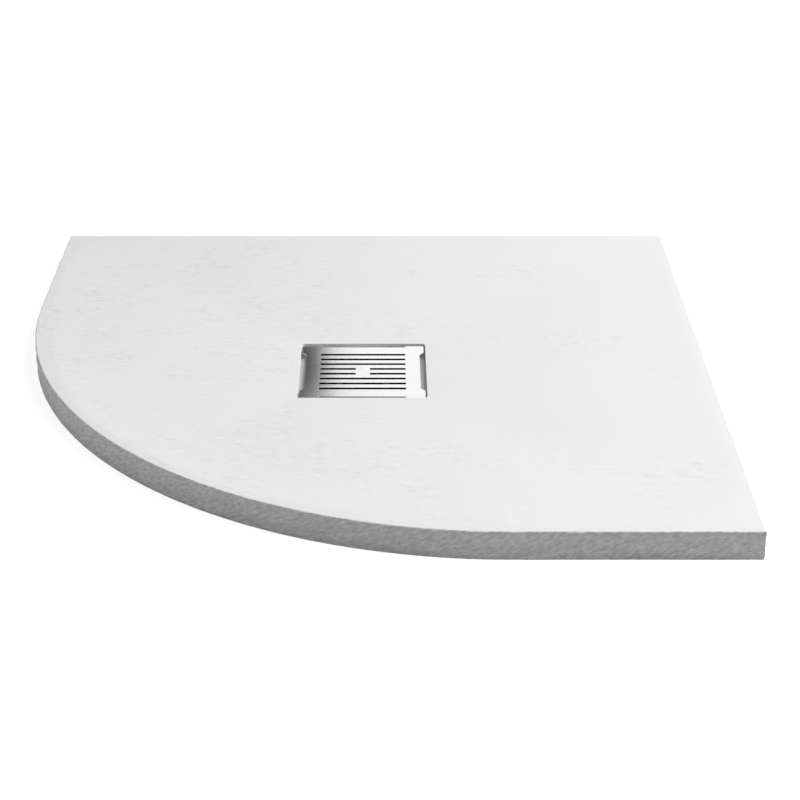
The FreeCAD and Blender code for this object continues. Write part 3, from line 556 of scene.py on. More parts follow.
class Finish:
    """A procedural material, built node by node."""
    NOISE_LOW, NOISE_HIGH = 0.3, 0.7

    def __init__(self, name, base, roughness, metallic=0.0, specular=0.5):
        self.material = bpy.data.materials.new(name)
        self.shader = plain_shader(self.material)
        self.material.diffuse_color = (*base, 1)
        self.tree = self.material.node_tree
        self.base = base
        self.shader.inputs["Base Color"].default_value = (*base, 1)
        self.shader.inputs["Roughness"].default_value = roughness
        self.shader.inputs["Metallic"].default_value = metallic
        self.shader.inputs["Specular IOR Level"].default_value = specular
        self.place = self.add("ShaderNodeTexCoord").outputs["Object"]
        self.relief = None

    def add(self, kind, **values):
        """Add a node and set its attributes."""
        node = self.tree.nodes.new(kind)
        for name, value in values.items():
            setattr(node, name, value)
        return node

    def link(self, output, target):
        """Link an output to an input."""
        self.tree.links.new(output, target)

    def stretched(self, scale):
        """Give the object's own coordinates, scaled."""
        node = self.add("ShaderNodeMapping")
        node.inputs["Scale"].default_value = scale
        self.link(self.place, node.inputs["Vector"])
        return node.outputs["Vector"]

    def noise(self, scale, detail=4.0, roughness=0.5, vector=None):
        """Give a noise that repeats about scale times a metre."""
        node = self.add("ShaderNodeTexNoise")
        node.inputs["Scale"].default_value = scale
        node.inputs["Detail"].default_value = detail
        node.inputs["Roughness"].default_value = roughness
        self.link(vector or self.place, node.inputs["Vector"])
        return node.outputs["Fac"]

    def cells(self, scale):
        """Give the distance to the nearest of scattered points."""
        node = self.add("ShaderNodeTexVoronoi")
        node.inputs["Scale"].default_value = scale
        self.link(self.place, node.inputs["Vector"])
        return node.outputs["Distance"]

    def maths(self, operation, first, second=None, third=None):
        """Combine values; each is an output or a number."""
        node = self.add("ShaderNodeMath", operation=operation)
        for value, target in zip((first, second, third), node.inputs):
            if value is None:
                continue
            if isinstance(value, (int, float)):
                target.default_value = value
            else:
                self.link(value, target)
        return node.outputs[0]

    def spread(self, source, low, high, from_low=NOISE_LOW, from_high=NOISE_HIGH):
        """Map a noise's usual range to another."""
        node = self.add("ShaderNodeMapRange")
        ranges = {"From Min": from_low, "From Max": from_high, "To Min": low, "To Max": high}
        for name, value in ranges.items():
            node.inputs[name].default_value = value
        self.link(source, node.inputs["Value"])
        return node.outputs["Result"]

    def rough(self, source, low, high):
        """Let the roughness vary."""
        self.link(self.spread(source, low, high), self.shader.inputs["Roughness"])

    def tint(self, source, dark, light):
        """Let the base colour vary between two shades of it."""
        ramp = self.add("ShaderNodeValToRGB")
        shades = (self.NOISE_LOW, dark), (self.NOISE_HIGH, light)
        for element, (position, shade) in zip(ramp.color_ramp.elements, shades):
            element.position = position
            element.color = (*[min(part * shade, 1) for part in self.base], 1)
        self.link(source, ramp.inputs["Fac"])
        self.link(ramp.outputs["Color"], self.shader.inputs["Base Color"])

    def bump(self, source, depth, strength):
        """Add a fine relief; depth is its real height."""
        node = self.add("ShaderNodeBump")
        node.inputs["Distance"].default_value = depth
        node.inputs["Strength"].default_value = strength
        self.link(source, node.inputs["Height"])
        if self.relief is not None:
            self.link(self.relief, node.inputs["Normal"])
        self.relief = node.outputs["Normal"]
        self.link(self.relief, self.shader.inputs["Normal"])


class StoneLook:
    """What makes the stone look riven; repeats are in a metre, and the painted shades and
    highlights of its relief are parts of its colour.
    """
    LEVEL_POWER = 4
    GRAIN = 1300
    CLUSTERS = 26
    CLUSTER_SHARES, CLUSTER_RANGE = (0.25, 1.25), (0.42, 0.60)
    FLAKES = (78, 190, 190)
    DARK_RANGE, LIGHT_RANGE = (0.54, 0.63), (0.45, 0.36)
    STREAKS_ALONG, STREAKS_OVER = 120, 330
    # Painted shade along the sides' streaks and painted shade in their dents, both standing in for
    # the cleft relief's shading.
    STREAK_SHADE, DENT_SHADE = -1.1, -0.10
    # The sides' level brings their streaks' painted shade back to a little under the top's tone, so
    # the sides' whole tone is painted shade too; then the most that the painted shading may lift
    # the colour.
    SIDE_LIFT, MOST_LIFT = 0.53, 1.1
    # Painted shade and painted highlight along the edges of the top's flakes.
    DARK_SHADE, LIGHT_SHADE = -0.062, 0.035


def stone_streaks(finish, side):
    """Give the streaks of the sides, which lean along the edge's run; the finish paints them as
    shade of the cleft relief, and bumps them too.
    """
    look = StoneLook
    run = finish.add("ShaderNodeAttribute", attribute_name=EDGE_RUN).outputs["Fac"]
    parts = finish.add("ShaderNodeSeparateXYZ")
    finish.link(finish.place, parts.inputs["Vector"])
    rise = parts.outputs["Z"]
    cos, sin = math.cos(CLEFT_LEAN), math.sin(CLEFT_LEAN)
    along = finish.maths("ADD", finish.maths("MULTIPLY", run, cos * look.STREAKS_ALONG),
                         finish.maths("MULTIPLY", rise, sin * look.STREAKS_ALONG))
    over = finish.maths("SUBTRACT", finish.maths("MULTIPLY", rise, cos * look.STREAKS_OVER),
                        finish.maths("MULTIPLY", run, sin * look.STREAKS_OVER))
    spot = finish.add("ShaderNodeCombineXYZ")
    finish.link(along, spot.inputs["X"])
    finish.link(over, spot.inputs["Y"])
    streaks = finish.noise(1, detail=4, roughness=0.6, vector=spot.outputs["Vector"])
    return finish.maths("MULTIPLY", streaks, side)


def stone_finish(base):
    """Matt cast stone: level flakes with short ragged edges on the top, rough cleft sides, with the
    relief's shading painted into the colour.
    """
    look = StoneLook
    finish = Finish("riven_stone", base, roughness=0.74, specular=0.25)
    upright = finish.add("ShaderNodeSeparateXYZ")
    geometry = finish.add("ShaderNodeNewGeometry")
    finish.link(geometry.outputs["True Normal"], upright.inputs["Vector"])
    level = finish.maths("POWER", finish.maths("ABSOLUTE", upright.outputs["Z"]), look.LEVEL_POWER)
    side = finish.maths("SUBTRACT", 1, level)
    marks = finish.add("ShaderNodeAttribute", attribute_name=CLEFT_MARKS).outputs["Fac"]
    # The relief's depth on the sides, from which painted shade darkens the dents.
    depth = finish.maths("MULTIPLY", marks, side)
    # Flakes of the top, in clusters where the stone is cleft; their edges get painted shade and
    # painted highlight, and a bump.
    clusters = finish.noise(look.CLUSTERS, detail=4, roughness=0.6)
    clusters = finish.spread(clusters, *look.CLUSTER_SHARES, *look.CLUSTER_RANGE)
    cleft = finish.maths("MULTIPLY", finish.maths("MULTIPLY", marks, level), clusters)
    flakes = finish.noise(1, detail=5, roughness=0.62, vector=finish.stretched(look.FLAKES))
    dark_edges = finish.spread(flakes, 0, 1, *look.DARK_RANGE)
    light_edges = finish.spread(flakes, 0, 1, *look.LIGHT_RANGE)
    dark_edges = finish.maths("MULTIPLY", dark_edges, cleft)
    light_edges = finish.maths("MULTIPLY", light_edges, cleft)
    streaks = stone_streaks(finish, side)
    # The stone's colour carries painted shading: painted shade along the sides' streaks and darker
    # in the dents of the sides, standing in for the cleft relief's shading, the sides' whole tone
    # set a little under the top's as painted shade, and painted shade and painted highlight along
    # the flakes of the top.
    shade = finish.maths("MULTIPLY_ADD", streaks, look.STREAK_SHADE, 1.0)
    shade = finish.maths("MULTIPLY_ADD", depth, look.DENT_SHADE, shade)
    shade = finish.maths("ADD", shade, finish.maths("MULTIPLY", side, look.SIDE_LIFT))
    shade = finish.maths("MINIMUM", shade, look.MOST_LIFT)
    shade = finish.maths("MULTIPLY_ADD", dark_edges, look.DARK_SHADE, shade)
    shade = finish.maths("MULTIPLY_ADD", light_edges, look.LIGHT_SHADE, shade)
    scaled = finish.add("ShaderNodeVectorMath", operation="SCALE")
    scaled.inputs[0].default_value = base
    finish.link(shade, scaled.inputs["Scale"])
    finish.link(scaled.outputs[0], finish.shader.inputs["Base Color"])
    finish.rough(flakes, low=0.66, high=0.82)
    finish.bump(finish.maths("SUBTRACT", light_edges, dark_edges), depth=0.0004, strength=0.4)
    finish.bump(finish.maths("MULTIPLY", streaks, -1), depth=0.0010, strength=0.5)
    finish.bump(finish.noise(look.GRAIN, detail=4, roughness=0.6), depth=0.0001, strength=0.5)
    return finish.material


def steel_finish(base):
    """Satin steel, brushed along the slots."""
    finish = Finish("brushed_steel", base, roughness=0.25, metallic=1.0)
    finish.shader.inputs["Anisotropic"].default_value = 0.35
    along_slots = finish.stretched((38, 5200, 5200))
    brush = finish.noise(1, detail=4, roughness=0.7, vector=along_slots)
    finish.rough(finish.noise(55, detail=3), low=0.215, high=0.235)
    finish.tint(brush, dark=0.985, light=1.0)
    finish.bump(brush, depth=0.000006, strength=0.15)
    return finish.material


def cut_finish(base):
    """Steel painted near black, as painted shade for the inside of the slots, and striped by the
    cutting beam.
    """
    finish = Finish("cut_edge_steel", base, roughness=0.6, metallic=0.3, specular=0.1)
    through_sheet = finish.stretched((3800, 3800, 260))
    stripes = finish.noise(1, detail=3, roughness=0.6, vector=through_sheet)
    finish.tint(stripes, dark=0.5, light=1.4)
    finish.rough(stripes, low=0.5, high=0.75)
    finish.bump(stripes, depth=0.00003, strength=0.5)
    return finish.material


def screw_finish(base):
    """Plated steel with fine turning marks."""
    finish = Finish("plated_steel", base, roughness=0.3, metallic=1.0)
    marks = finish.noise(1600, detail=3)
    finish.rough(marks, low=0.22, high=0.4)
    finish.tint(marks, dark=0.85, light=1.0)
    finish.bump(marks, depth=0.00002, strength=0.4)
    return finish.material


def moulded_finish(name, base, low, high, specular=0.45):
    """Moulded plastic: fine spark-eroded grain and a slow change of gloss."""
    finish = Finish(name, base, roughness=(low + high) / 2, specular=specular)
    slow = finish.noise(38, detail=3)
    finish.rough(slow, low, high)
    finish.tint(slow, dark=0.93, light=1.0)
    finish.bump(finish.noise(1400, detail=4, roughness=0.6), depth=0.00004, strength=0.5)
    return finish.material


def rubber_finish(name, base):
    """Matt rubber with a dusty bloom."""
    finish = Finish(name, base, roughness=0.75, specular=0.35)
    bloom = finish.noise(120, detail=5, roughness=0.6)
    finish.rough(bloom, low=0.62, high=0.86)
    finish.tint(bloom, dark=0.75, light=1.35)
    finish.bump(finish.noise(2200, detail=3), depth=0.00003, strength=0.6)
    return finish.material


def foam_finish(base):
    """Closed-cell foam: cut cells all over."""
    finish = Finish("closed_cell_foam", base, roughness=0.9, specular=0.2)
    cut = finish.cells(2400)
    finish.tint(cut, dark=0.5, light=1.3)
    finish.bump(cut, depth=0.0002, strength=0.9)
    return finish.material


MADE_FINISHES = {}


def made(build, *values, **numbers):
    """Give a finish, and make it only once."""
    known = build.__name__ + str(values[0])
    if known not in MADE_FINISHES:
        MADE_FINISHES[known] = build(*values, **numbers)
    return MADE_FINISHES[known]


# ---------------------------------------------------------------- the stone's rings

class StoneRings:
    """Rings of matching points round the tray, from the waste's hole to the edge and underneath.

    Each of the four sides runs from one diagonal to the next, from the back left round the front;
    a few points lie close together at its ends, for the rounded corners.
    """
    CORNER_POINTS = 5
    SIDES = (((0, -1), (-1, 0)), ((1, 0), (0, -1)), ((0, 1), (1, 0)), ((-1, 0), (0, 1)))
    # Rings in each part of the tray's section.
    FLOOR_RINGS, FILLET_RINGS, WALL_RINGS, LIP_RINGS = 9, 4, 5, 4
    LAND_RINGS, ROLL_RINGS, SIDE_RINGS, FOOT_RINGS, UNDER_RINGS = 6, 8, 25, 4, 9
    # The relief: the noise's seed, and the sizes of its marks in metres, one way and the other.
    SEED = 7
    PATCH = 0.22, 0.16
    FLAKE, CHIP = (0.040, 0.016), (0.013, 0.006)
    CLEFT, SPLINTER = (0.024, 0.0125), (0.009, 0.005)
    # What the large and the small marks give, on the top and on the sides; how the patches
    # rise to the left, and what a quiet patch keeps of its marks.
    TOP_SHARES, SIDE_SHARES = (0.7, 0.3), (0.75, 0.25)
    PATCH_LIFT, PATCH_SLOPE, PATCH_SHARES = 0.6, 1.1, (0.2, 0.8)
    # Parts of the full relief where the section is worn or bent.
    RECESS_WEAR, LIP_WEAR, ROLL_WEAR, FOOT_WEAR = 0.5, 0.2, 0.8, 0.9
    FALL_WEAR, FALL_GAIN = 0.35, 8

    def __init__(self, sizes):
        self.sizes = sizes
        self.count = sizes.side_points
        self.curve_x = TRAY_LOW.x + sizes.curve_radius
        self.curve_y = TRAY_LOW.y + sizes.curve_radius
        self.points = []
        self.normals = []
        self.top = []
        self.side = []

    def square(self, half, radius):
        """Give a rounded square's points."""
        corner = self.CORNER_POINTS
        count = self.count
        places = []
        for run, out in self.SIDES:
            run, out = np.array(run, float), np.array(out, float)
            near = half - radius
            for step in range(count):
                if step < corner:
                    angle = math.pi / 4 * (1 - step / corner)
                    away = out * math.cos(angle) - run * math.sin(angle)
                    spot = (out - run) * near + radius * away
                elif step <= count - corner:
                    share = (step - corner) / (count - 2 * corner)
                    spot = out * half + run * near * (2 * share - 1)
                else:
                    angle = math.pi / 4 * (step - count + corner) / corner
                    away = out * math.cos(angle) + run * math.sin(angle)
                    spot = (out + run) * near + radius * away
                places.append(spot)
        return np.array(places)

    def round(self, radius):
        """Give a circle's points, on the same rays as a square's."""
        rays = self.square(1.0, 0.02)
        return rays / np.linalg.norm(rays, axis=1)[:, None] * radius

    def edge(self, inset):
        """Give the points of the tray's edge, drawn in by an inset, and the directions outwards."""
        sizes = self.sizes
        corner = self.CORNER_POINTS
        count = self.count
        soft = max(sizes.corner_round - inset, 0)
        low = np.array((TRAY_LOW.x, TRAY_LOW.y)) + inset
        high = np.array((TRAY_HIGH.x, TRAY_HIGH.y)) - inset
        radius = sizes.curve_radius - inset
        centre = np.array((self.curve_x, self.curve_y))
        bend = radius * math.pi / 4
        places, outs = [], []

        def arc(angle):
            """Add a point of the curved corner."""
            out = np.array((math.cos(angle), math.sin(angle)))
            places.append(centre + radius * out)
            outs.append(out)

        def rounding(spot, out, run, angle):
            """Add a point of an upright corner's softening."""
            away = out * math.cos(angle) + run * math.sin(angle)
            places.append(spot + soft * away)
            outs.append(away)

        corners = [np.array(spot) for spot in ((low[0], high[1]), (high[0], low[1]), high)]
        starts = (corners[0], None, corners[1], corners[2])
        ends = (None, corners[1], corners[2], corners[0])
        for number, (run, out) in enumerate(self.SIDES):
            run, out = np.array(run, float), np.array(out, float)
            start, end = starts[number], ends[number]
            for step in range(count):
                if start is not None and step < corner:
                    angle = -math.pi / 4 * (1 - step / corner)
                    rounding(start + soft * (run - out), out, run, angle)
                    continue
                if end is not None and step > count - corner:
                    angle = math.pi / 4 * (step - count + corner) / corner
                    rounding(end - soft * (run + out), out, run, angle)
                    continue
                first = corner if start is not None else 0
                last = count - corner if end is not None else count
                share = (step - first) / (last - first)
                if number == 0:
                    straight = high[1] - soft - self.curve_y
                    gone = share * (straight + bend)
                    if gone > straight:
                        arc(math.pi + (gone - straight) / radius)
                    else:
                        places.append(np.array((low[0], high[1] - soft - gone)))
                        outs.append(out)
                elif number == 1:
                    straight = high[0] - soft - self.curve_x
                    gone = share * (straight + bend)
                    if gone < bend:
                        arc(math.pi * 1.25 + gone / radius)
                    else:
                        places.append(np.array((self.curve_x + gone - bend, low[1])))
                        outs.append(out)
                else:
                    places.append(start + soft * run + (end - start - 2 * soft * run) * share)
                    outs.append(out)
        return np.array(places), np.array(outs)

    def fall(self, places):
        """Give the height of the falls at each place."""
        sizes = self.sizes
        foot = sizes.recess_side / 2 + sizes.lip_land
        run = (TRAY_HIGH.x - sizes.rim_land) - foot
        drop = sizes.fall_drop
        reach = np.abs(places).max(axis=1)
        blend = np.maximum(reach - foot, 1e-6) * sizes.crease_blend
        near = np.clip(1 - (reach - np.abs(places).min(axis=1)) / blend, 0, 1)
        flat = drop * (1 - (reach + near ** 2 * blend / 4 - foot) / run)
        away = np.hypot(places[:, 0] - self.curve_x, places[:, 1] - self.curve_y)
        corner = (places[:, 0] < self.curve_x) & (places[:, 1] < self.curve_y)
        curved = drop * (sizes.curve_radius - sizes.rim_land - away) / sizes.curve_run
        meet = np.clip(1 - np.abs(flat - curved) / sizes.curve_blend, 0, 1) ** 2
        meet = meet * sizes.curve_blend / 4
        below = np.where(corner, np.minimum(flat, curved) - meet, flat)
        return TRAY_HIGH.z - np.clip(below, 0, drop)

    def add(self, places, height, out=None, tilt=0.0, top=0.0, side=0.0):
        """Add a ring; tilt turns its normal from upright, at 0, to outwards and on."""
        count = len(places)
        heights = np.full(count, height) if np.isscalar(height) else height
        if out is None:
            out = places / np.maximum(np.linalg.norm(places, axis=1), 1e-9)[:, None]
        normal = np.column_stack([out * math.sin(tilt), np.full(count, math.cos(tilt))])
        self.points.append(np.column_stack([places, heights]))
        self.normals.append(normal)
        self.top.append(np.full(count, top))
        self.side.append(np.full(count, side))

    def lay_drain(self):
        """Lay the waste's hole, from below, and the recess up to its lip."""
        sizes = self.sizes
        half = sizes.recess_side / 2
        corner = sizes.recess_corner
        floor = sizes.recess_floor
        lip = TRAY_HIGH.z - sizes.fall_drop
        hole, soft = sizes.hole_radius, sizes.hole_ease
        self.add(self.round(hole + soft), TRAY_LOW.z + sizes.seat_depth)
        self.add(self.round(hole), TRAY_LOW.z + sizes.seat_depth + soft)
        self.add(self.round(hole), floor - soft)
        self.add(self.round(hole + soft), floor)
        fillet = sizes.recess_fillet
        inner, outer = self.round(hole + soft * 2), self.square(half - fillet, corner)
        for share in np.linspace(0, 1, self.FLOOR_RINGS):
            self.add(inner * (1 - share) + outer * share, floor, top=self.RECESS_WEAR)
        for angle in self.quarter(self.FILLET_RINGS):
            places = self.square(half - fillet * (1 - math.sin(angle)), corner)
            self.add(places, floor + fillet * (1 - math.cos(angle)))
        wall = lip - sizes.lip_roll - floor - fillet
        for share in np.linspace(0, 1, self.WALL_RINGS)[1:]:
            self.add(self.square(half, corner), floor + fillet + wall * share)
        for angle in self.quarter(self.LIP_RINGS):
            places = self.square(half + sizes.lip_roll * (1 - math.cos(angle)), corner)
            height = lip - sizes.lip_roll * (1 - math.sin(angle))
            self.add(places, height, top=self.LIP_WEAR)

    def lay_top(self):
        """Lay the falls and the level band round the rim."""
        sizes = self.sizes
        foot = self.square(sizes.recess_side / 2 + sizes.lip_land,
                           sizes.recess_corner + sizes.lip_land)
        rim, _ = self.edge(sizes.rim_land)
        for share in np.linspace(0, 1, sizes.fall_rings):
            places = foot * (1 - share) + rim * share
            top = min(self.FALL_WEAR + share * self.FALL_GAIN, 1)
            self.add(places, self.fall(places), top=top)
        for share in np.linspace(0, 1, self.LAND_RINGS)[1:]:
            inset = sizes.rim_land + (sizes.edge_roll - sizes.rim_land) * share
            places, out = self.edge(inset)
            self.add(places, TRAY_HIGH.z, out, top=1)

    def lay_side(self):
        """Lay the rolled edge, the side and the softened lower edge."""
        sizes = self.sizes
        upright = math.pi / 2
        for angle in self.quarter(self.ROLL_RINGS):
            places, out = self.edge(sizes.edge_roll * (1 - math.sin(angle)))
            height = TRAY_HIGH.z - sizes.edge_roll * (1 - math.cos(angle))
            top, side = math.cos(angle) ** 2, math.sin(angle) ** 2 * self.ROLL_WEAR
            self.add(places, height, out, angle, top, side)
        places, out = self.edge(0)
        low, high = TRAY_LOW.z + sizes.foot_roll, TRAY_HIGH.z - sizes.edge_roll
        for share in np.linspace(0, 1, self.SIDE_RINGS)[1:]:
            self.add(places, high + (low - high) * share, out, upright, side=1)
        for angle in self.quarter(self.FOOT_RINGS):
            places, out = self.edge(sizes.foot_roll * (1 - math.cos(angle)))
            height = low - sizes.foot_roll * math.sin(angle)
            self.add(places, height, out, upright, side=math.cos(angle) * self.FOOT_WEAR)

    def lay_underside(self):
        """Lay the underside and the seat of the trap's seal."""
        sizes = self.sizes
        seat, soft = sizes.seat_radius, sizes.hole_ease
        outer, _ = self.edge(sizes.foot_roll * 1.5)
        inner = self.round(seat + soft)
        for share in np.linspace(0, 1, self.UNDER_RINGS):
            self.add(outer * (1 - share) + inner * share, TRAY_LOW.z)
        self.add(self.round(seat), TRAY_LOW.z + soft)
        self.add(self.round(seat), TRAY_LOW.z + sizes.seat_depth)
        self.add(self.round((seat + sizes.hole_radius) / 2), TRAY_LOW.z + sizes.seat_depth)

    def quarter(self, rings):
        """Give the angles of the rings of a quarter round, without the first."""
        return np.linspace(0, math.pi / 2, rings)[1:]

    def lay(self):
        """Lay all the rings."""
        self.lay_drain()
        self.lay_top()
        self.lay_side()
        self.lay_underside()

    def relief(self):
        """Press the riven relief into the rings, always inwards; give the points and their marks.

        One mark is how deep the relief is on a side, and how cleft the stone is on the top, and the
        stone's finish paints shade and highlight from it;
        the other is the way round the tray's edge.
        """
        sizes = self.sizes
        points = np.stack(self.points)
        normals = np.stack(self.normals)
        top, side = np.stack(self.top), np.stack(self.side)
        noise = Noise(self.SEED)
        x, y, height = points[:, :, 0], points[:, :, 1], points[:, :, 2]
        patch = noise.fractal(x / self.PATCH[0], y / self.PATCH[1], 3)
        patch = ease(patch + self.PATCH_LIFT - self.PATCH_SLOPE * x)
        large, small = self.TOP_SHARES
        flat = large * riven(noise, x / self.FLAKE[0], y / self.FLAKE[1], 4, 0.35)
        flat += small * (noise.fractal(x / self.CHIP[0], y / self.CHIP[1], 3) + 0.5)
        flat = flat * (self.PATCH_SHARES[0] + self.PATCH_SHARES[1] * patch)
        edge, _ = self.edge(0)
        steps = np.linalg.norm(np.roll(edge, -1, axis=0) - edge, axis=1)
        run = np.repeat((np.cumsum(steps) - steps)[None, :], len(points), axis=0)
        along = run * math.cos(CLEFT_LEAN) + height * math.sin(CLEFT_LEAN)
        over = height * math.cos(CLEFT_LEAN) - run * math.sin(CLEFT_LEAN)
        large, small = self.SIDE_SHARES
        rough = large * riven(noise, along / self.CLEFT[0], over / self.CLEFT[1], 4, 0.3)
        splinters = noise.fractal(along / self.SPLINTER[0], over / self.SPLINTER[1], 3)
        rough += small * (splinters + 0.5)
        rough = np.clip(rough, 0, 1)
        press = sizes.top_relief * top * np.clip(flat, 0, 1) + sizes.side_relief * side * rough
        marks = {CLEFT_MARKS: np.where(side > 0.3, rough, top * patch), EDGE_RUN: run}
        return (points - normals * press[:, :, None]).reshape(-1, 3), marks


# ---------------------------------------------------------------- operators, one for each piece

class PieceOperator:
    """What all the operators share."""
    bl_options = {"REGISTER", "UNDO"}


class STONE_OT_make(PieceOperator, bpy.types.Operator):
    """Make the cast tray with its falls, recess, seal seat and riven relief"""
    bl_idname = "shower_tray.make_stone"
    bl_label = "Stone Tray"

    def execute(self, context):
        rings = StoneRings(context.scene.stone_sizes)
        rings.lay()
        points, marks = rings.relief()
        piece = mesh_object("tray_stone", points, ring_faces(len(rings.points), 4 * rings.count))
        for name, values in marks.items():
            layer = piece.data.attributes.new(name, "FLOAT", "POINT")
            layer.data.foreach_set("value", values.reshape(-1).astype(np.float32))
        edit(piece, weld)
        finish = made(stone_finish, context.scene.tray_finishes.stone)
        settle(piece, "tray", "tray_body", finish)
        return {"FINISHED"}


class GRATE_OT_make(PieceOperator, bpy.types.Operator):
    """Punch and fold the steel grate"""
    bl_idname = "shower_tray.make_grate"
    bl_label = "Steel Grate"
    BEND_STEPS = 8

    def outline(self, sizes, fold):
        """Give the flat pattern's edge, with the legs still unfolded."""
        half = GRATE_HIGH.x
        leg = sizes.leg_width / 2
        slit = leg + sizes.leg_relief
        inner_corner = 0.0003
        drop = GRATE_HIGH.z - sizes.bend_radius - GRATE_LOW.z
        flap = fold + sizes.bend_radius * math.pi / 2 + drop
        notch = half - sizes.notch_depth
        short, long = sizes.notch_inner / 2, sizes.notch_outer / 2
        soft = sizes.corner / 3
        quarter = [(half, long, soft), (half, half, sizes.corner), (slit, half, soft / 2),
                   (slit, fold, inner_corner), (leg, fold, inner_corner), (leg, flap, soft / 2)]
        front = [(x, -y, r) for x, y, r in quarter]
        corners = [(notch, short, soft * 1.5)] + quarter
        corners += [(-x, y, r) for x, y, r in reversed(quarter)] + [(-notch, short, soft * 1.5)]
        corners += [(-notch, -short, soft * 1.5)] + [(-x, y, r) for x, y, r in front]
        corners += list(reversed(front)) + [(notch, -short, soft * 1.5)]
        return rounded(corners, 6)

    def slots(self, sizes):
        """Give the outlines of the drain slots."""
        half, bridge = sizes.slot_length / 2, sizes.bridge / 2
        outlines = []
        for row in range(-sizes.rows, sizes.rows):
            middle = sizes.slot_pitch * (row + 0.5)
            low, high = middle - sizes.slot_width / 2, middle + sizes.slot_width / 2
            spans = [(-half, -bridge), (bridge, half)] if row in (-1, 0) else [(-half, half)]
            outlines += [box_outline(start, low, end, high, sizes.slot_corner)
                         for start, end in spans]
        return outlines

    def blacken(self, piece, sizes, finish):
        """Give the walls of the cut slots a finish of their own: near black, as painted shade for
        the inside of the slots.
        """
        piece.data.materials.append(finish)
        beyond = sizes.edge / 2
        reach_x = sizes.slot_length / 2 + beyond
        reach_y = sizes.slot_pitch * (sizes.rows - 0.5) + sizes.slot_width / 2 + beyond
        for face in piece.data.polygons:
            inside = abs(face.center.x) < reach_x and abs(face.center.y) < reach_y
            if inside and abs(face.normal.z) < 0.5:
                face.material_index = 1

    def execute(self, context):
        sizes = context.scene.grate_sizes
        colours = context.scene.tray_finishes
        top = GRATE_HIGH.z
        radius = sizes.bend_radius
        bend = radius * math.pi / 2
        fold = GRATE_HIGH.x - sizes.leg_setback - radius
        outlines = [self.outline(sizes, fold)] + self.slots(sizes)
        piece = plate("steel_grate", outlines, top - sizes.sheet, top, sizes.edge)

        def bend_legs(shape):
            """Fold the front and back legs down."""
            for side in (-1, 1):
                for step in range(self.BEND_STEPS + 1):
                    everything = shape.verts[:] + shape.edges[:] + shape.faces[:]
                    line = (0, side * (fold + bend * step / self.BEND_STEPS), 0)
                    bmesh.ops.bisect_plane(shape, geom=everything, plane_co=line,
                                           plane_no=(0, 1, 0))
            for point in shape.verts:
                gone = abs(point.co.y) - fold
                if gone <= 1e-9 or abs(point.co.x) > sizes.leg_width / 2 + 1e-5:
                    continue
                side = math.copysign(1, point.co.y)
                reach = radius - (top - point.co.z)
                angle = min(gone, bend) / radius
                point.co.y = side * (fold + reach * math.sin(angle))
                point.co.z = top - radius + reach * math.cos(angle) - max(gone - bend, 0)
            weld(shape)

        edit(piece, bend_legs)
        settle(piece, "grate", "grate_plate", made(steel_finish, colours.steel))
        self.blacken(piece, sizes, made(cut_finish, colours.cut_edge))
        return {"FINISHED"}


class SHOES_OT_make(PieceOperator, bpy.types.Operator):
    """Push the four rubber shoes on the grate's legs"""
    bl_idname = "shower_tray.make_shoes"
    bl_label = "Rubber Shoes"

    def execute(self, context):
        sizes = context.scene.grate_sizes
        low, high = SHOES_LOW.z, SHOES_HIGH.z
        outer = SHOES_HIGH.y
        leg_outer = GRATE_HIGH.y - sizes.leg_setback + sizes.shoe_play
        leg_inner = GRATE_HIGH.y - sizes.leg_setback - sizes.sheet - sizes.shoe_play
        inner = leg_inner - (outer - leg_outer)
        foot = low + sizes.shoe_foot
        soft = sizes.shoe_ease
        section = rounded([(inner, low, soft), (outer, low, soft), (outer, high, soft),
                           (leg_outer, high, soft / 2), (leg_outer, foot, soft / 4),
                           (leg_inner, foot, soft / 4), (leg_inner, high, soft / 2),
                           (inner, high, soft)])
        start, end = SHOES_HIGH.x - sizes.shoe_length, SHOES_HIGH.x
        # Places along the shoe, and how far its section draws in there.
        stations = [(start, soft), (start + soft * 0.3, soft * 0.3), (start + soft, 0),
                    (end - soft, 0), (end - soft * 0.3, soft * 0.3), (end, soft)]
        middle = Vector(((inner + outer) / 2, (low + high) / 2))
        count = len(section)
        last = (len(stations) - 1) * count
        faces = [(a * count + b, a * count + (b + 1) % count, (a + 1) * count + (b + 1) % count,
                  (a + 1) * count + b) for a in range(len(stations) - 1) for b in range(count)]
        faces += [tuple(range(count)), tuple(range(last, last + count))]
        shoes = []
        for side_x in (-1, 1):
            for side_y in (-1, 1):
                points = []
                for along, shrink in stations:
                    for spot in section:
                        nearer = spot - (spot - middle).normalized() * shrink * 0.5
                        points.append((side_x * along, side_y * nearer.x, nearer.y))
                shoes.append(mesh_object("shoe", points, faces))
        piece = join("rubber_shoes", shoes)
        edit(piece, weld)
        finish = made(rubber_finish, "shoe_rubber", context.scene.tray_finishes.rubber)
        settle(piece, "grate", "grate_pads", finish)
        return {"FINISHED"}


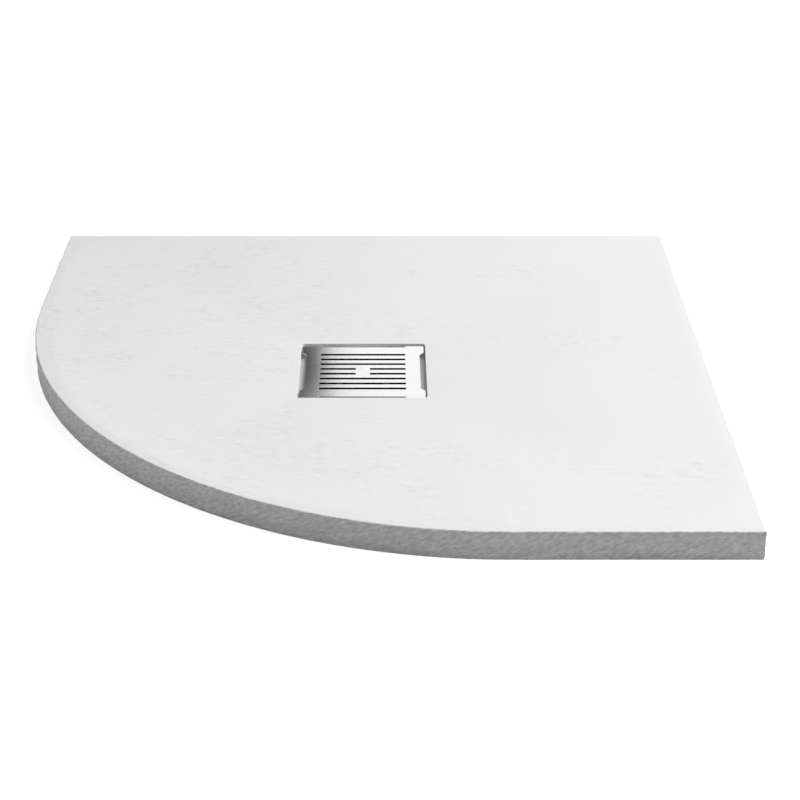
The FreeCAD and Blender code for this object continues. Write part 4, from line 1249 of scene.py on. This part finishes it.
class STRAINER_OT_make(PieceOperator, bpy.types.Operator):
    """Make the hair strainer: basket, slotted floor and lifting knob"""
    bl_idname = "shower_tray.make_strainer"
    bl_label = "Hair Strainer"
    SLIT_COUNTS = 8, 16
    WAIST = 0.72
    HEAD, NECK = 0.0016, 0.0026

    def floor(self, sizes, low):
        """Give the basket's floor with its two rings of slits."""
        slits = []
        half = sizes.slit_length / 2
        for middle, count in zip((sizes.inner_circle, sizes.outer_circle), self.SLIT_COUNTS):
            slit = box_outline(middle - half, -sizes.slit_width / 2, middle + half,
                               sizes.slit_width / 2, sizes.slit_width * 0.45, 5)
            for number in range(count):
                turn = Matrix.Rotation(2 * math.pi * number / count, 2)
                slits.append([turn @ spot for spot in slit])
        edge = circle(sizes.basket - sizes.strainer_wall - 0.0005)
        return plate("floor", [edge] + slits, low, low + sizes.strainer_wall,
                     sizes.strainer_ease * 0.7)

    def handle(self, sizes, low):
        """Give the lifting knob on its waisted stem."""
        knob, wall, soft = sizes.knob, sizes.strainer_wall, sizes.strainer_ease
        waist, top = knob * self.WAIST, STRAINER_HIGH.z
        return turned("knob", [
            (0, low + wall / 2, 0), (knob, low + wall / 2, 0), (knob, low + wall * 1.6, soft),
            (waist, low + wall * 2.4, soft * 3), (waist, top - self.NECK, soft * 3),
            (knob, top - self.HEAD, soft), (knob, top, soft * 2.2), (0, top, 0)], segments=64)

    def execute(self, context):
        sizes = context.scene.waste_sizes
        low, rim = STRAINER_LOW.z, FLANGE_HIGH.z
        seat = rim - sizes.rebate_depth
        wall, soft = sizes.strainer_wall, sizes.strainer_ease
        basket, outer = sizes.basket, STRAINER_HIGH.x
        inside = basket - wall
        floor_end = inside - 0.002
        shell = turned("shell", [
            (floor_end, low, 0), (basket, low, soft * 3), (basket, seat, soft / 2),
            (outer, seat, soft), (outer, rim, soft), (inside, rim, soft),
            (inside, low + wall, soft * 2), (floor_end, low + wall, 0)])
        piece = join("hair_strainer_basket",
                     [shell, self.floor(sizes, low), self.handle(sizes, low)])
        black = context.scene.tray_finishes.black_plastic
        finish = made(moulded_finish, "strainer_plastic", black,
                      low=0.5, high=0.62, specular=0.05)
        settle(piece, "strainer", "hair_strainer", finish)
        return {"FINISHED"}


class FLANGE_OT_make(PieceOperator, bpy.types.Operator):
    """Make the square waste flange"""
    bl_idname = "shower_tray.make_flange"
    bl_label = "Waste Flange"

    def execute(self, context):
        sizes = context.scene.waste_sizes
        half = FLANGE_HIGH.x
        soft = sizes.flange_ease
        outline = box_outline(-half, -half, half, half, sizes.flange_corner, 10)
        seat = FLANGE_HIGH.z - sizes.head_height
        places = screw_places(sizes.screw_circle)
        lower = [circle(sizes.shank + sizes.screw_play, 32, x, y) for x, y in places]
        upper = [circle(sizes.head + sizes.screw_play, 48, x, y) for x, y in places]
        ledge = FLANGE_HIGH.z - sizes.rebate_depth
        step = min(seat, ledge)
        base = plate("base", [outline, circle(sizes.throat, 160)] + lower, FLANGE_LOW.z, step,
                     soft / 4)
        cover = plate("cover", [outline, circle(sizes.rebate, 160)] + upper, step, FLANGE_HIGH.z,
                      soft)
        wide = sizes.rebate + soft
        collar = turned("collar", [(sizes.throat, step - soft, 0), (wide, step - soft, 0),
                                   (wide, ledge, 0), (sizes.throat, ledge, soft / 2)],
                        segments=160)
        piece = join("square_flange", [base, cover, collar])
        black = context.scene.tray_finishes.black_plastic
        finish = made(moulded_finish, "flange_plastic", black,
                      low=0.55, high=0.7, specular=0.04)
        settle(piece, "tray", "waste_flange", finish)
        return {"FINISHED"}


class FOAM_OT_make(PieceOperator, bpy.types.Operator):
    """Cut the foam seal under the flange"""
    bl_idname = "shower_tray.make_foam"
    bl_label = "Foam Seal"

    def execute(self, context):
        sizes = context.scene.waste_sizes
        half = FOAM_HIGH.x
        outlines = [box_outline(-half, -half, half, half, sizes.flange_corner, 10),
                    circle(sizes.foam_bore, 128)]
        piece = plate("foam_seal", outlines, FOAM_LOW.z, FOAM_HIGH.z, 0.0003)
        finish = made(foam_finish, context.scene.tray_finishes.foam)
        settle(piece, "tray", "flange_gasket", finish)
        return {"FINISHED"}


class SCREWS_OT_make(PieceOperator, bpy.types.Operator):
    """Turn the four clamp screws, with their threads and driver crosses"""
    bl_idname = "shower_tray.make_screws"
    bl_label = "Clamp Screws"
    SEGMENTS, HEAD_RINGS, SHANK_RINGS = 64, 26, 70
    DOME, THREAD_DEPTH, THREAD_START = 0.00035, 0.00045, 0.002
    # Rings as (part of the radius, way from the face, the seat or the tip).
    FACE_END = 0.93
    FACE_EDGE, SEAT_EDGE = ((0.985, 0.00055), (1, 0.0009)), ((1, 0.0001), (0.98, 0))
    POINT_START, POINT = 0.0015, (0.6, 0.0005)
    # How softly the driver's cross begins at its sides and at its ends.
    CROSS_SIDE, CROSS_END = 0.00016, 0.0007
    FIRST_TURN, NEXT_TURN = 23, 41

    def rings(self, sizes):
        """Give the screw's outline from the middle of its head to its tip."""
        top, seat, tip = SCREWS_HIGH.z, SCREWS_HIGH.z - sizes.head_height, SCREWS_LOW.z
        head, shank = sizes.head, sizes.shank
        rings = [(head * share, top - self.DOME * share ** 2)
                 for share in np.linspace(0, self.FACE_END, self.HEAD_RINGS)]
        rings += [(head * part, top - down) for part, down in self.FACE_EDGE]
        rings += [(head * part, seat + over) for part, over in self.SEAT_EDGE]
        rings += [(shank, seat - down)
                  for down in np.linspace(0, seat - tip - self.POINT_START, self.SHANK_RINGS)]
        part, over = self.POINT
        return rings + [(shank * part, tip + over), (0.0, tip)]

    def execute(self, context):
        sizes = context.scene.waste_sizes
        seat = SCREWS_HIGH.z - sizes.head_height
        rings = self.rings(sizes)
        radius, height, around = ring_grid(rings, self.SEGMENTS)
        threaded = (height < seat - self.THREAD_START) & (radius > sizes.shank * 0.9)
        turn = np.abs(((height / sizes.thread_pitch + around / (2 * math.pi)) % 1) * 2 - 1)
        radius = np.where(threaded, radius - self.THREAD_DEPTH * ease(turn), radius)
        across, along = radius * np.cos(around), radius * np.sin(around)
        nearer = np.minimum(np.abs(across), np.abs(along))
        farther = np.maximum(np.abs(across), np.abs(along))
        inside = ease((sizes.cross_width / 2 - nearer) / self.CROSS_SIDE + 0.5)
        inside *= ease((sizes.cross_length - farther) / self.CROSS_END)
        on_head = height > seat + 0.0005
        height = np.where(on_head, height - sizes.cross_depth * inside, height)
        points = np.stack([across, along, height], axis=-1).reshape(-1, 3)
        half_way = len(rings) * self.SEGMENTS / 2
        faces = [face for face in ring_faces(len(rings), self.SEGMENTS)
                 if max(face) - min(face) < half_way]
        screws = []
        for number, (x, y) in enumerate(screw_places(sizes.screw_circle)):
            turned_by = math.radians(self.FIRST_TURN + self.NEXT_TURN * number)
            turn = np.array(Matrix.Rotation(turned_by, 3, "Z"))
            screws.append(mesh_object("screw", points @ turn.T + np.array((x, y, 0)), faces))
        piece = join("clamp_screw_set", screws)
        edit(piece, weld)
        finish = made(screw_finish, context.scene.tray_finishes.screw)
        settle(piece, "tray", "clamp_screws", finish)
        return {"FINISHED"}


class CUP_OT_make(PieceOperator, bpy.types.Operator):
    """Make the trap's cup, open at the top and bored at the back for its outlet"""
    bl_idname = "shower_tray.make_cup"
    bl_label = "Trap Cup"

    # Where the bore for the outlet starts and ends, as parts of the cup's radius.
    BORE_START, BORE_END = 0.7, 1.2

    def execute(self, context):
        sizes = context.scene.trap_sizes
        low, high = CUP_LOW.z, CUP_HIGH.z
        soft, inside = 0.0003, 0.0015
        radius, wall = sizes.cup_radius, sizes.cup_wall
        cup = turned("trap_cup_shell", [
            (0, low, 0), (radius, low, sizes.cup_bevel * 1.3), (radius, high, soft),
            (radius - wall, high, soft), (radius - wall, low + wall, inside),
            (0, low + wall, 0)], segments=160, steps=6)
        start, end = radius * self.BORE_START, radius * self.BORE_END
        bore = turned("bore", [(0, start, 0), (sizes.waterway, start, 0),
                               (sizes.waterway, end, 0), (0, end, 0)],
                      segments=96, steps=2, outlet=True)
        carve(cup, bore)
        white = context.scene.tray_finishes.white_plastic
        finish = made(moulded_finish, "trap_plastic", white, low=0.34, high=0.5)
        settle(cup, "tray", "trap_cup", finish)
        return {"FINISHED"}


class OUTLET_OT_make(PieceOperator, bpy.types.Operator):
    """Make the threaded outlet that is welded to the back of the cup"""
    bl_idname = "shower_tray.make_outlet"
    bl_label = "Trap Outlet"

    # Lengths along the outlet: what the saddle trims, the plain neck, and ring to ring.
    TRIM, NECK, RING_STEP = 0.002, 0.006, 0.0003
    # The plain end of the thread, and how far it takes to begin and to end.
    PLAIN_END, RUN_IN, RUN_OUT = 0.0008, 0.003, 0.002

    def execute(self, context):
        sizes = context.scene.trap_sizes
        mouth = OUTLET_HIGH.y
        radius = sizes.cup_radius
        start = OUTLET_LOW.y - self.TRIM
        deepest = mouth - sizes.pipe_depth
        first = radius + self.NECK

        def thread(radii, along, around):
            """Cut the thread into the outlet's outside."""
            turn = np.abs(((along / sizes.outlet_pitch + around / (2 * math.pi)) % 1) * 2 - 1)
            worn = ease((along - first) / self.RUN_IN)
            worn *= ease((mouth - self.PLAIN_END - along) / self.RUN_OUT)
            cut = sizes.outlet_thread * ease(turn * 1.2 - 0.1) * worn
            return radii - np.where(radii > sizes.outlet_radius - 1e-5, cut, 0)

        lines = [(sizes.outlet_radius, along, 0)
                 for along in np.arange(first, mouth - 0.0006, self.RING_STEP)]
        flared = sizes.socket_radius + sizes.mouth_flare
        corners = [(sizes.waterway, start, 0), (sizes.outlet_radius, start, 0)] + lines
        corners += [(sizes.outlet_radius, mouth, 0.0002), (flared, mouth, 0.0001),
                    (sizes.socket_radius, mouth - sizes.mouth_flare, 0),
                    (sizes.socket_radius, deepest, 0.0003), (sizes.waterway, deepest, 0.0004)]
        spigot = turned("threaded_outlet", corners, segments=96, steps=3,
                        outlet=True, shape_radius=thread)
        saddle = turned("saddle", [(0, CUP_LOW.z, 0), (radius, CUP_LOW.z, 0),
                                   (radius, CUP_HIGH.z, 0), (0, CUP_HIGH.z, 0)],
                        segments=320, steps=2)
        carve(spigot, saddle)
        white = context.scene.tray_finishes.white_plastic
        finish = made(moulded_finish, "trap_plastic", white, low=0.34, high=0.5)
        settle(spigot, "tray", "trap_outlet", finish)
        return {"FINISHED"}


class DECK_OT_make(PieceOperator, bpy.types.Operator):
    """Make the trap's deck with the dip tube's socket and the screw bosses"""
    bl_idname = "shower_tray.make_deck"
    bl_label = "Trap Deck"
    BOSS_TAPER = 0.94

    def execute(self, context):
        sizes = context.scene.trap_sizes
        top, low = DECK_HIGH.z, DECK_LOW.z
        under = top - sizes.deck_thickness
        bore, collar = sizes.socket_bore, sizes.socket_bore + sizes.socket_wall
        # The socket ends a little above the bosses.
        end = low + 0.001
        soft = 0.0006
        deck = turned("trap_deck_disc", [
            (bore, end, 0.0004), (collar, end, soft), (collar, under, 0.001),
            (DECK_HIGH.x, under, soft), (DECK_HIGH.x, top, soft), (bore, top, 0.0008)],
                      segments=160)
        bosses = []
        buried = under + 0.0005
        for x, y in screw_places(context.scene.waste_sizes.screw_circle):
            boss = turned("boss", [(0, low, 0), (sizes.boss * self.BOSS_TAPER, low, soft),
                                   (sizes.boss, buried, 0), (0, buried, 0)], segments=48)
            boss.data.transform(Matrix.Translation((x, y, 0)))
            bosses.append(boss)
        piece = join("trap_deck_moulding", [deck] + bosses)
        white = context.scene.tray_finishes.white_plastic
        finish = made(moulded_finish, "deck_plastic", white, low=0.36, high=0.5)
        settle(piece, "tray", "trap_deck", finish)
        return {"FINISHED"}


class GASKET_OT_make(PieceOperator, bpy.types.Operator):
    """Make the ribbed gasket between the trap and the tray"""
    bl_idname = "shower_tray.make_gasket"
    bl_label = "Trap Gasket"
    RIBS = 3

    def execute(self, context):
        low, high = GASKET_LOW.z, GASKET_HIGH.z
        inner, outer = context.scene.trap_sizes.gasket_bore, GASKET_HIGH.x
        soft, groove, half = 0.0004, 0.0005, 0.0006
        corners = [(inner, low, soft), (outer, low, soft), (outer, high, soft)]
        width = (outer - inner) / (self.RIBS + 1)
        for number in range(self.RIBS, 0, -1):
            middle = inner + width * number
            corners += [(middle + half, high, 0.0001), (middle, high - groove, 0.0001),
                        (middle - half, high, 0.0001)]
        corners.append((inner, high, soft))
        piece = turned("ribbed_gasket", corners, segments=160, steps=3)
        finish = made(rubber_finish, "gasket_rubber", context.scene.tray_finishes.rubber)
        settle(piece, "tray", "trap_gasket", finish)
        return {"FINISHED"}


class TUBE_OT_make(PieceOperator, bpy.types.Operator):
    """Make the dip tube with its plug, groove and lifting bar"""
    bl_idname = "shower_tray.make_dip_tube"
    bl_label = "Dip Tube"

    def execute(self, context):
        sizes = context.scene.trap_sizes
        top, end = TUBE_HIGH.z, TUBE_LOW.z
        seat = top - sizes.rim_thickness
        plug, tube, wall = sizes.plug_radius, sizes.tube_radius, sizes.tube_wall
        plug_low = seat - sizes.plug_depth
        cone_low = plug_low - sizes.plug_cone
        play = sizes.groove_play
        groove_low, groove_high = RING_LOW.z - play, RING_HIGH.z + play
        groove = RING_HIGH.x - (RING_HIGH.z - RING_LOW.z) - play
        mouth = groove - wall
        soft, fillet = 0.0005, 0.003
        bore = tube - wall
        piece = turned("dip_tube_moulding", [
            (mouth, top, soft), (mouth, plug_low, fillet), (bore, cone_low, fillet),
            (bore, end, soft), (tube, end, soft), (tube, cone_low, fillet),
            (plug, plug_low, 0.0012), (plug, groove_low, soft / 2),
            (groove, groove_low, soft / 2), (groove, groove_high, soft / 2),
            (plug, groove_high, soft / 2), (plug, seat, soft / 3),
            (TUBE_HIGH.x, seat, soft), (TUBE_HIGH.x, top, soft)], segments=144)
        half = sizes.handle_width / 2
        section = box_outline(-half, top - sizes.handle_height, half, top, 0.0013)
        reach = mouth + wall / 2
        count = len(section)
        points = [(side * reach, spot.x, spot.y) for side in (-1, 1) for spot in section]
        faces = [(a, (a + 1) % count, count + (a + 1) % count, count + a) for a in range(count)]
        faces += [tuple(range(count)), tuple(range(count, 2 * count))]
        piece = join("dip_tube_moulding", [piece, mesh_object("bar", points, faces)])
        edit(piece, weld)
        grey = context.scene.tray_finishes.grey_plastic
        finish = made(moulded_finish, "tube_plastic", grey, low=0.3, high=0.45)
        settle(piece, "dip_tube_unit", "dip_tube", finish)
        return {"FINISHED"}


class RING_OT_make(PieceOperator, bpy.types.Operator):
    """Make the rubber ring in the dip tube's groove"""
    bl_idname = "shower_tray.make_seal_ring"
    bl_label = "Seal Ring"

    def execute(self, context):
        low, high, outer = RING_LOW.z, RING_HIGH.z, RING_HIGH.x
        thick = high - low
        inner, soft = outer - thick, thick * 0.42
        piece = turned("dip_tube_ring", [(inner, low, soft), (outer, low, soft),
                                         (outer, high, soft), (inner, high, soft)],
                       segments=144, steps=8)
        finish = made(rubber_finish, "ring_rubber", context.scene.tray_finishes.rubber)
        settle(piece, "dip_tube_unit", "dip_tube_seal", finish)
        return {"FINISHED"}


class NUT_OT_make(PieceOperator, bpy.types.Operator):
    """Make the ribbed nut on the outlet"""
    bl_idname = "shower_tray.make_nut"
    bl_label = "Outlet Nut"
    RIBS, SIDE_STEPS = 12, 14
    # How softly a rib begins at its sides and at its ends, and its height at the very end.
    RIB_SIDE, RIB_END, END_HEIGHT = 0.0009, 0.002, 0.35

    def execute(self, context):
        sizes = context.scene.trap_sizes
        start, end = NUT_LOW.y, NUT_HIGH.y
        rib_height = NUT_HIGH.z - OUTLET_HEIGHT - sizes.nut_radius
        face = end - sizes.nut_end

        def grip(radii, along, around):
            """Raise the ribs on the nut's outside."""
            turn = (around - math.pi / 2) * self.RIBS / (2 * math.pi)
            away = np.abs(turn - np.round(turn)) * 2 * math.pi * sizes.nut_radius / self.RIBS
            rib = ease((sizes.nut_rib / 2 - away) / self.RIB_SIDE + 0.5)
            tapered = ease((along - start) / self.RIB_END + self.END_HEIGHT)
            tapered *= ease((end - along) / self.RIB_END + self.END_HEIGHT)
            outside = radii > (sizes.nut_bore + sizes.nut_radius) / 2
            return np.where(outside, radii + (rib_height - 1e-5) * rib * tapered, radii)

        corners = [(sizes.nut_bore, start, 0.0005), (sizes.nut_bore, face, 0.0004),
                   (sizes.nut_hole, face, 0.0004), (sizes.nut_hole, end, 0.0006),
                   (sizes.nut_radius, end, 0.0008)]
        along_side = np.linspace(end, start, self.SIDE_STEPS)[1:-1]
        corners += [(sizes.nut_radius, along, 0) for along in along_side]
        corners.append((sizes.nut_radius, start, 0.0008))
        piece = turned("outlet_grip_nut", corners, segments=360, steps=3,
                       outlet=True, shape_radius=grip)
        white = context.scene.tray_finishes.white_plastic
        finish = made(moulded_finish, "nut_plastic", white, low=0.3, high=0.46)
        settle(piece, "nut", "outlet_nut", finish)
        return {"FINISHED"}


class CONE_OT_make(PieceOperator, bpy.types.Operator):
    """Make the cone seal in the outlet's mouth"""
    bl_idname = "shower_tray.make_cone_seal"
    bl_label = "Cone Seal"

    def execute(self, context):
        sizes = context.scene.trap_sizes
        bore, outer, mouth = sizes.seal_bore, CONE_HIGH.x, OUTLET_HIGH.y
        flare = sizes.socket_radius + sizes.mouth_flare - 0.0002
        piece = turned("outlet_cone_ring", [(bore, CONE_LOW.y, 0.0002), (bore, CONE_HIGH.y, 0.0002),
                                            (outer, CONE_HIGH.y, 0.0005), (outer, mouth, 0.0004),
                                            (flare, mouth, 0.0002)],
                       outlet=True)
        finish = made(rubber_finish, "cone_rubber", context.scene.tray_finishes.rubber)
        settle(piece, "tray", "outlet_cone_seal", finish)
        return {"FINISHED"}


class WASHER_OT_make(PieceOperator, bpy.types.Operator):
    """Make the slip washer under the nut"""
    bl_idname = "shower_tray.make_washer"
    bl_label = "Slip Washer"

    def execute(self, context):
        bore, outer = context.scene.trap_sizes.washer_bore, WASHER_HIGH.x
        front, back = WASHER_LOW.y, WASHER_HIGH.y
        soft = 0.0004
        piece = turned("outlet_slip_ring", [(bore, front, soft), (bore, back, soft),
                                            (outer, back, soft), (outer, front, soft)],
                       steps=3, outlet=True)
        pale = context.scene.tray_finishes.washer
        finish = made(moulded_finish, "washer_plastic", pale, low=0.28, high=0.4)
        settle(piece, "tray", "outlet_slip_washer", finish)
        return {"FINISHED"}


# ---------------------------------------------------------------- the stage

def eye_rays(tree):
    """Give 1 for rays that show the background itself: camera, mirror and glass rays."""
    rays = tree.nodes.new("ShaderNodeLightPath")
    shown = rays.outputs["Is Camera Ray"]
    for kind in ("Is Glossy Ray", "Is Transmission Ray"):
        more = tree.nodes.new("ShaderNodeMath")
        more.operation = "MAXIMUM"
        tree.links.new(shown, more.inputs[0])
        tree.links.new(rays.outputs[kind], more.inputs[1])
        shown = more.outputs[0]
    return shown


class STAGE_OT_make(PieceOperator, bpy.types.Operator):
    """Lay the pale floor with its opening under the tray, the soft lights and the camera"""
    bl_idname = "shower_tray.make_stage"
    bl_label = "Stage"

    def floor(self, context, stage):
        """Lay the floor, with an opening under the tray for the trap."""
        rings = StoneRings(context.scene.stone_sizes)
        hole, _ = rings.edge(stage.floor_inset)
        far = rings.square(stage.floor_half, stage.floor_half * 0.1)
        count = len(hole)
        points = [(x, y, TRAY_LOW.z) for x, y in np.concatenate([hole, far])]
        faces = [(n, (n + 1) % count, count + (n + 1) % count, count + n) for n in range(count)]
        floor = mesh_object("studio_floor", points, faces)
        edit(floor, weld)
        if floor.data.polygons[0].normal.z < 0:
            floor.data.flip_normals()
        material = bpy.data.materials.new("pale_floor")
        shader = plain_shader(material)
        tree = material.node_tree
        shader.inputs["Base Color"].default_value = (stage.floor_shade,) * 3 + (1,)
        shader.inputs["Roughness"].default_value = 1
        shader.inputs["Specular IOR Level"].default_value = 0
        shader.inputs["Emission Color"].default_value = (1, 1, 1, 1)
        glow = tree.nodes.new("ShaderNodeMath")
        glow.operation = "MULTIPLY"
        glow.inputs[1].default_value = stage.floor_glow
        tree.links.new(eye_rays(tree), glow.inputs[0])
        tree.links.new(glow.outputs[0], shader.inputs["Emission Strength"])
        floor.data.materials.append(material)

    def world(self, context, stage):
        """Surround the stage with even light, white walls and a darker ceiling."""
        world = bpy.data.worlds.new("studio")
        world.use_nodes = True
        tree = world.node_tree
        background = next(node for node in tree.nodes if node.type == "BACKGROUND")
        background.inputs["Color"].default_value = (1, 1, 1, 1)
        # White up to some height over the horizon, and from there darker to the ceiling.
        direction = tree.nodes.new("ShaderNodeTexCoord")
        upright = tree.nodes.new("ShaderNodeSeparateXYZ")
        tree.links.new(direction.outputs["Generated"], upright.inputs[0])
        shown = tree.nodes.new("ShaderNodeMapRange")
        shown.interpolation_type = "SMOOTHSTEP"
        ranges = {"From Min": stage.walls_end, "From Max": stage.ceiling_start,
                  "To Min": 1, "To Max": stage.ceiling}
        for name, value in ranges.items():
            shown.inputs[name].default_value = value
        tree.links.new(upright.outputs["Z"], shown.inputs["Value"])
        level = tree.nodes.new("ShaderNodeMapRange")
        level.inputs["To Min"].default_value = stage.ambient
        tree.links.new(shown.outputs["Result"], level.inputs["To Max"])
        tree.links.new(eye_rays(tree), level.inputs["Value"])
        tree.links.new(level.outputs["Result"], background.inputs["Strength"])
        context.scene.world = world

    def softbox(self, name, size, power, spot):
        """Hang a square soft light that neither camera nor steel shows."""
        data = bpy.data.lights.new(name, "AREA")
        data.shape = "SQUARE"
        data.size = size
        data.energy = power
        light = placed(name, data)
        light.location = spot
        light.visible_camera = False
        light.visible_glossy = False
        return light

    def lights(self, context, stage):
        """Light the tray from above, a little from the left, and slanting from the back right.

        The left light lifts the curved side, and the slanting one tells the falls apart.
        """
        self.softbox("overhead_softbox", stage.overhead_size, stage.overhead_power,
                     stage.overhead_place)
        fill = self.softbox("left_fill", stage.fill_size, stage.fill_power, stage.fill_place)
        fill.rotation_euler = Vector(stage.fill_aim).to_track_quat("-Z", "Y").to_euler()
        data = bpy.data.lights.new("window_light", "SUN")
        data.energy = stage.window_strength
        data.angle = stage.window_softness
        window = placed("window_light", data)
        window.rotation_euler = (0, math.pi / 2 - stage.window_height, stage.window_turn)

    def card(self, context, stage):
        """Hang a dark card that only the steel mirrors: it gives the grate its dark left part."""
        pitch = stage.camera_pitch
        away, edge, size = stage.card_distance, stage.card_edge, stage.card_size
        up, back = math.sin(pitch) * away, math.cos(pitch) * away
        points = [(edge - size, -size, 0), (edge, -size, 0), (edge, size, 0),
                  (edge - size, size, 0)]
        card = mesh_object("dark_card", points, [(0, 1, 2, 3)])
        turn = Matrix.Rotation(math.pi / 2 - pitch, 4, "X")
        card.matrix_world = Matrix.Translation((0, back, GRATE_HIGH.z + up)) @ turn
        material = bpy.data.materials.new("dark_card")
        shader = plain_shader(material)
        shader.inputs["Base Color"].default_value = (0, 0, 0, 1)
        shader.inputs["Specular IOR Level"].default_value = 0
        shader.inputs["Emission Color"].default_value = (1, 1, 1, 1)
        shader.inputs["Emission Strength"].default_value = stage.card_glow
        card.data.materials.append(material)
        card.visible_camera = False
        card.visible_diffuse = False
        card.visible_shadow = False
        card.visible_transmission = False

    def camera(self, context, stage):
        """Set the camera up at the photograph's viewing angle."""
        data = bpy.data.cameras.new("photo_camera")
        data.sensor_width = 36
        data.lens = stage.camera_lens
        data.shift_x = stage.camera_shift
        data.clip_end = 100
        camera = placed("photo_camera", data)
        camera.location = (stage.camera_across, -stage.camera_front, stage.camera_height)
        camera.rotation_euler = (math.pi / 2 - stage.camera_pitch, 0, 0)
        context.scene.camera = camera

    def execute(self, context):
        stage = context.scene.stage_settings
        for part in (self.floor, self.world, self.lights, self.card, self.camera):
            part(context, stage)
        context.scene.view_settings.view_transform = "Standard"
        return {"FINISHED"}


# ---------------------------------------------------------------- panel and registration

OPERATORS = (STONE_OT_make, GRATE_OT_make, SHOES_OT_make, STRAINER_OT_make, FLANGE_OT_make,
             FOAM_OT_make, SCREWS_OT_make, CUP_OT_make, OUTLET_OT_make, DECK_OT_make,
             GASKET_OT_make, TUBE_OT_make, RING_OT_make, NUT_OT_make, CONE_OT_make,
             WASHER_OT_make, STAGE_OT_make)
SETTINGS = (("stone_sizes", StoneSizes), ("grate_sizes", GrateSizes), ("waste_sizes", WasteSizes),
            ("trap_sizes", TrapSizes), ("tray_finishes", Finishes),
            ("stage_settings", StageSettings))


class TRAY_PT_panel(bpy.types.Panel):
    """Lists the pieces in the sidebar."""
    bl_idname = "TRAY_PT_panel"
    bl_label = "Shower Tray"
    bl_space_type = "VIEW_3D"
    bl_region_type = "UI"
    bl_category = "Shower Tray"

    def draw(self, context):
        for operator in OPERATORS:
            self.layout.operator(operator.bl_idname)


def register():
    """Register the settings, the operators and the panel."""
    for name, group in SETTINGS:
        bpy.utils.register_class(group)
        setattr(bpy.types.Scene, name, PointerProperty(type=group))
    for operator in OPERATORS:
        bpy.utils.register_class(operator)
    bpy.utils.register_class(TRAY_PT_panel)


def unregister():
    """Take all of them away again."""
    bpy.utils.unregister_class(TRAY_PT_panel)
    for operator in reversed(OPERATORS):
        bpy.utils.unregister_class(operator)
    for name, group in reversed(SETTINGS):
        delattr(bpy.types.Scene, name)
        bpy.utils.unregister_class(group)


def main():
    """Make every piece in order."""
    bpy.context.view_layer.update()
    register()
    for operator in OPERATORS:
        group, name = operator.bl_idname.split(".")
        getattr(getattr(bpy.ops, group), name)()


if __name__ == "__main__":
    main()
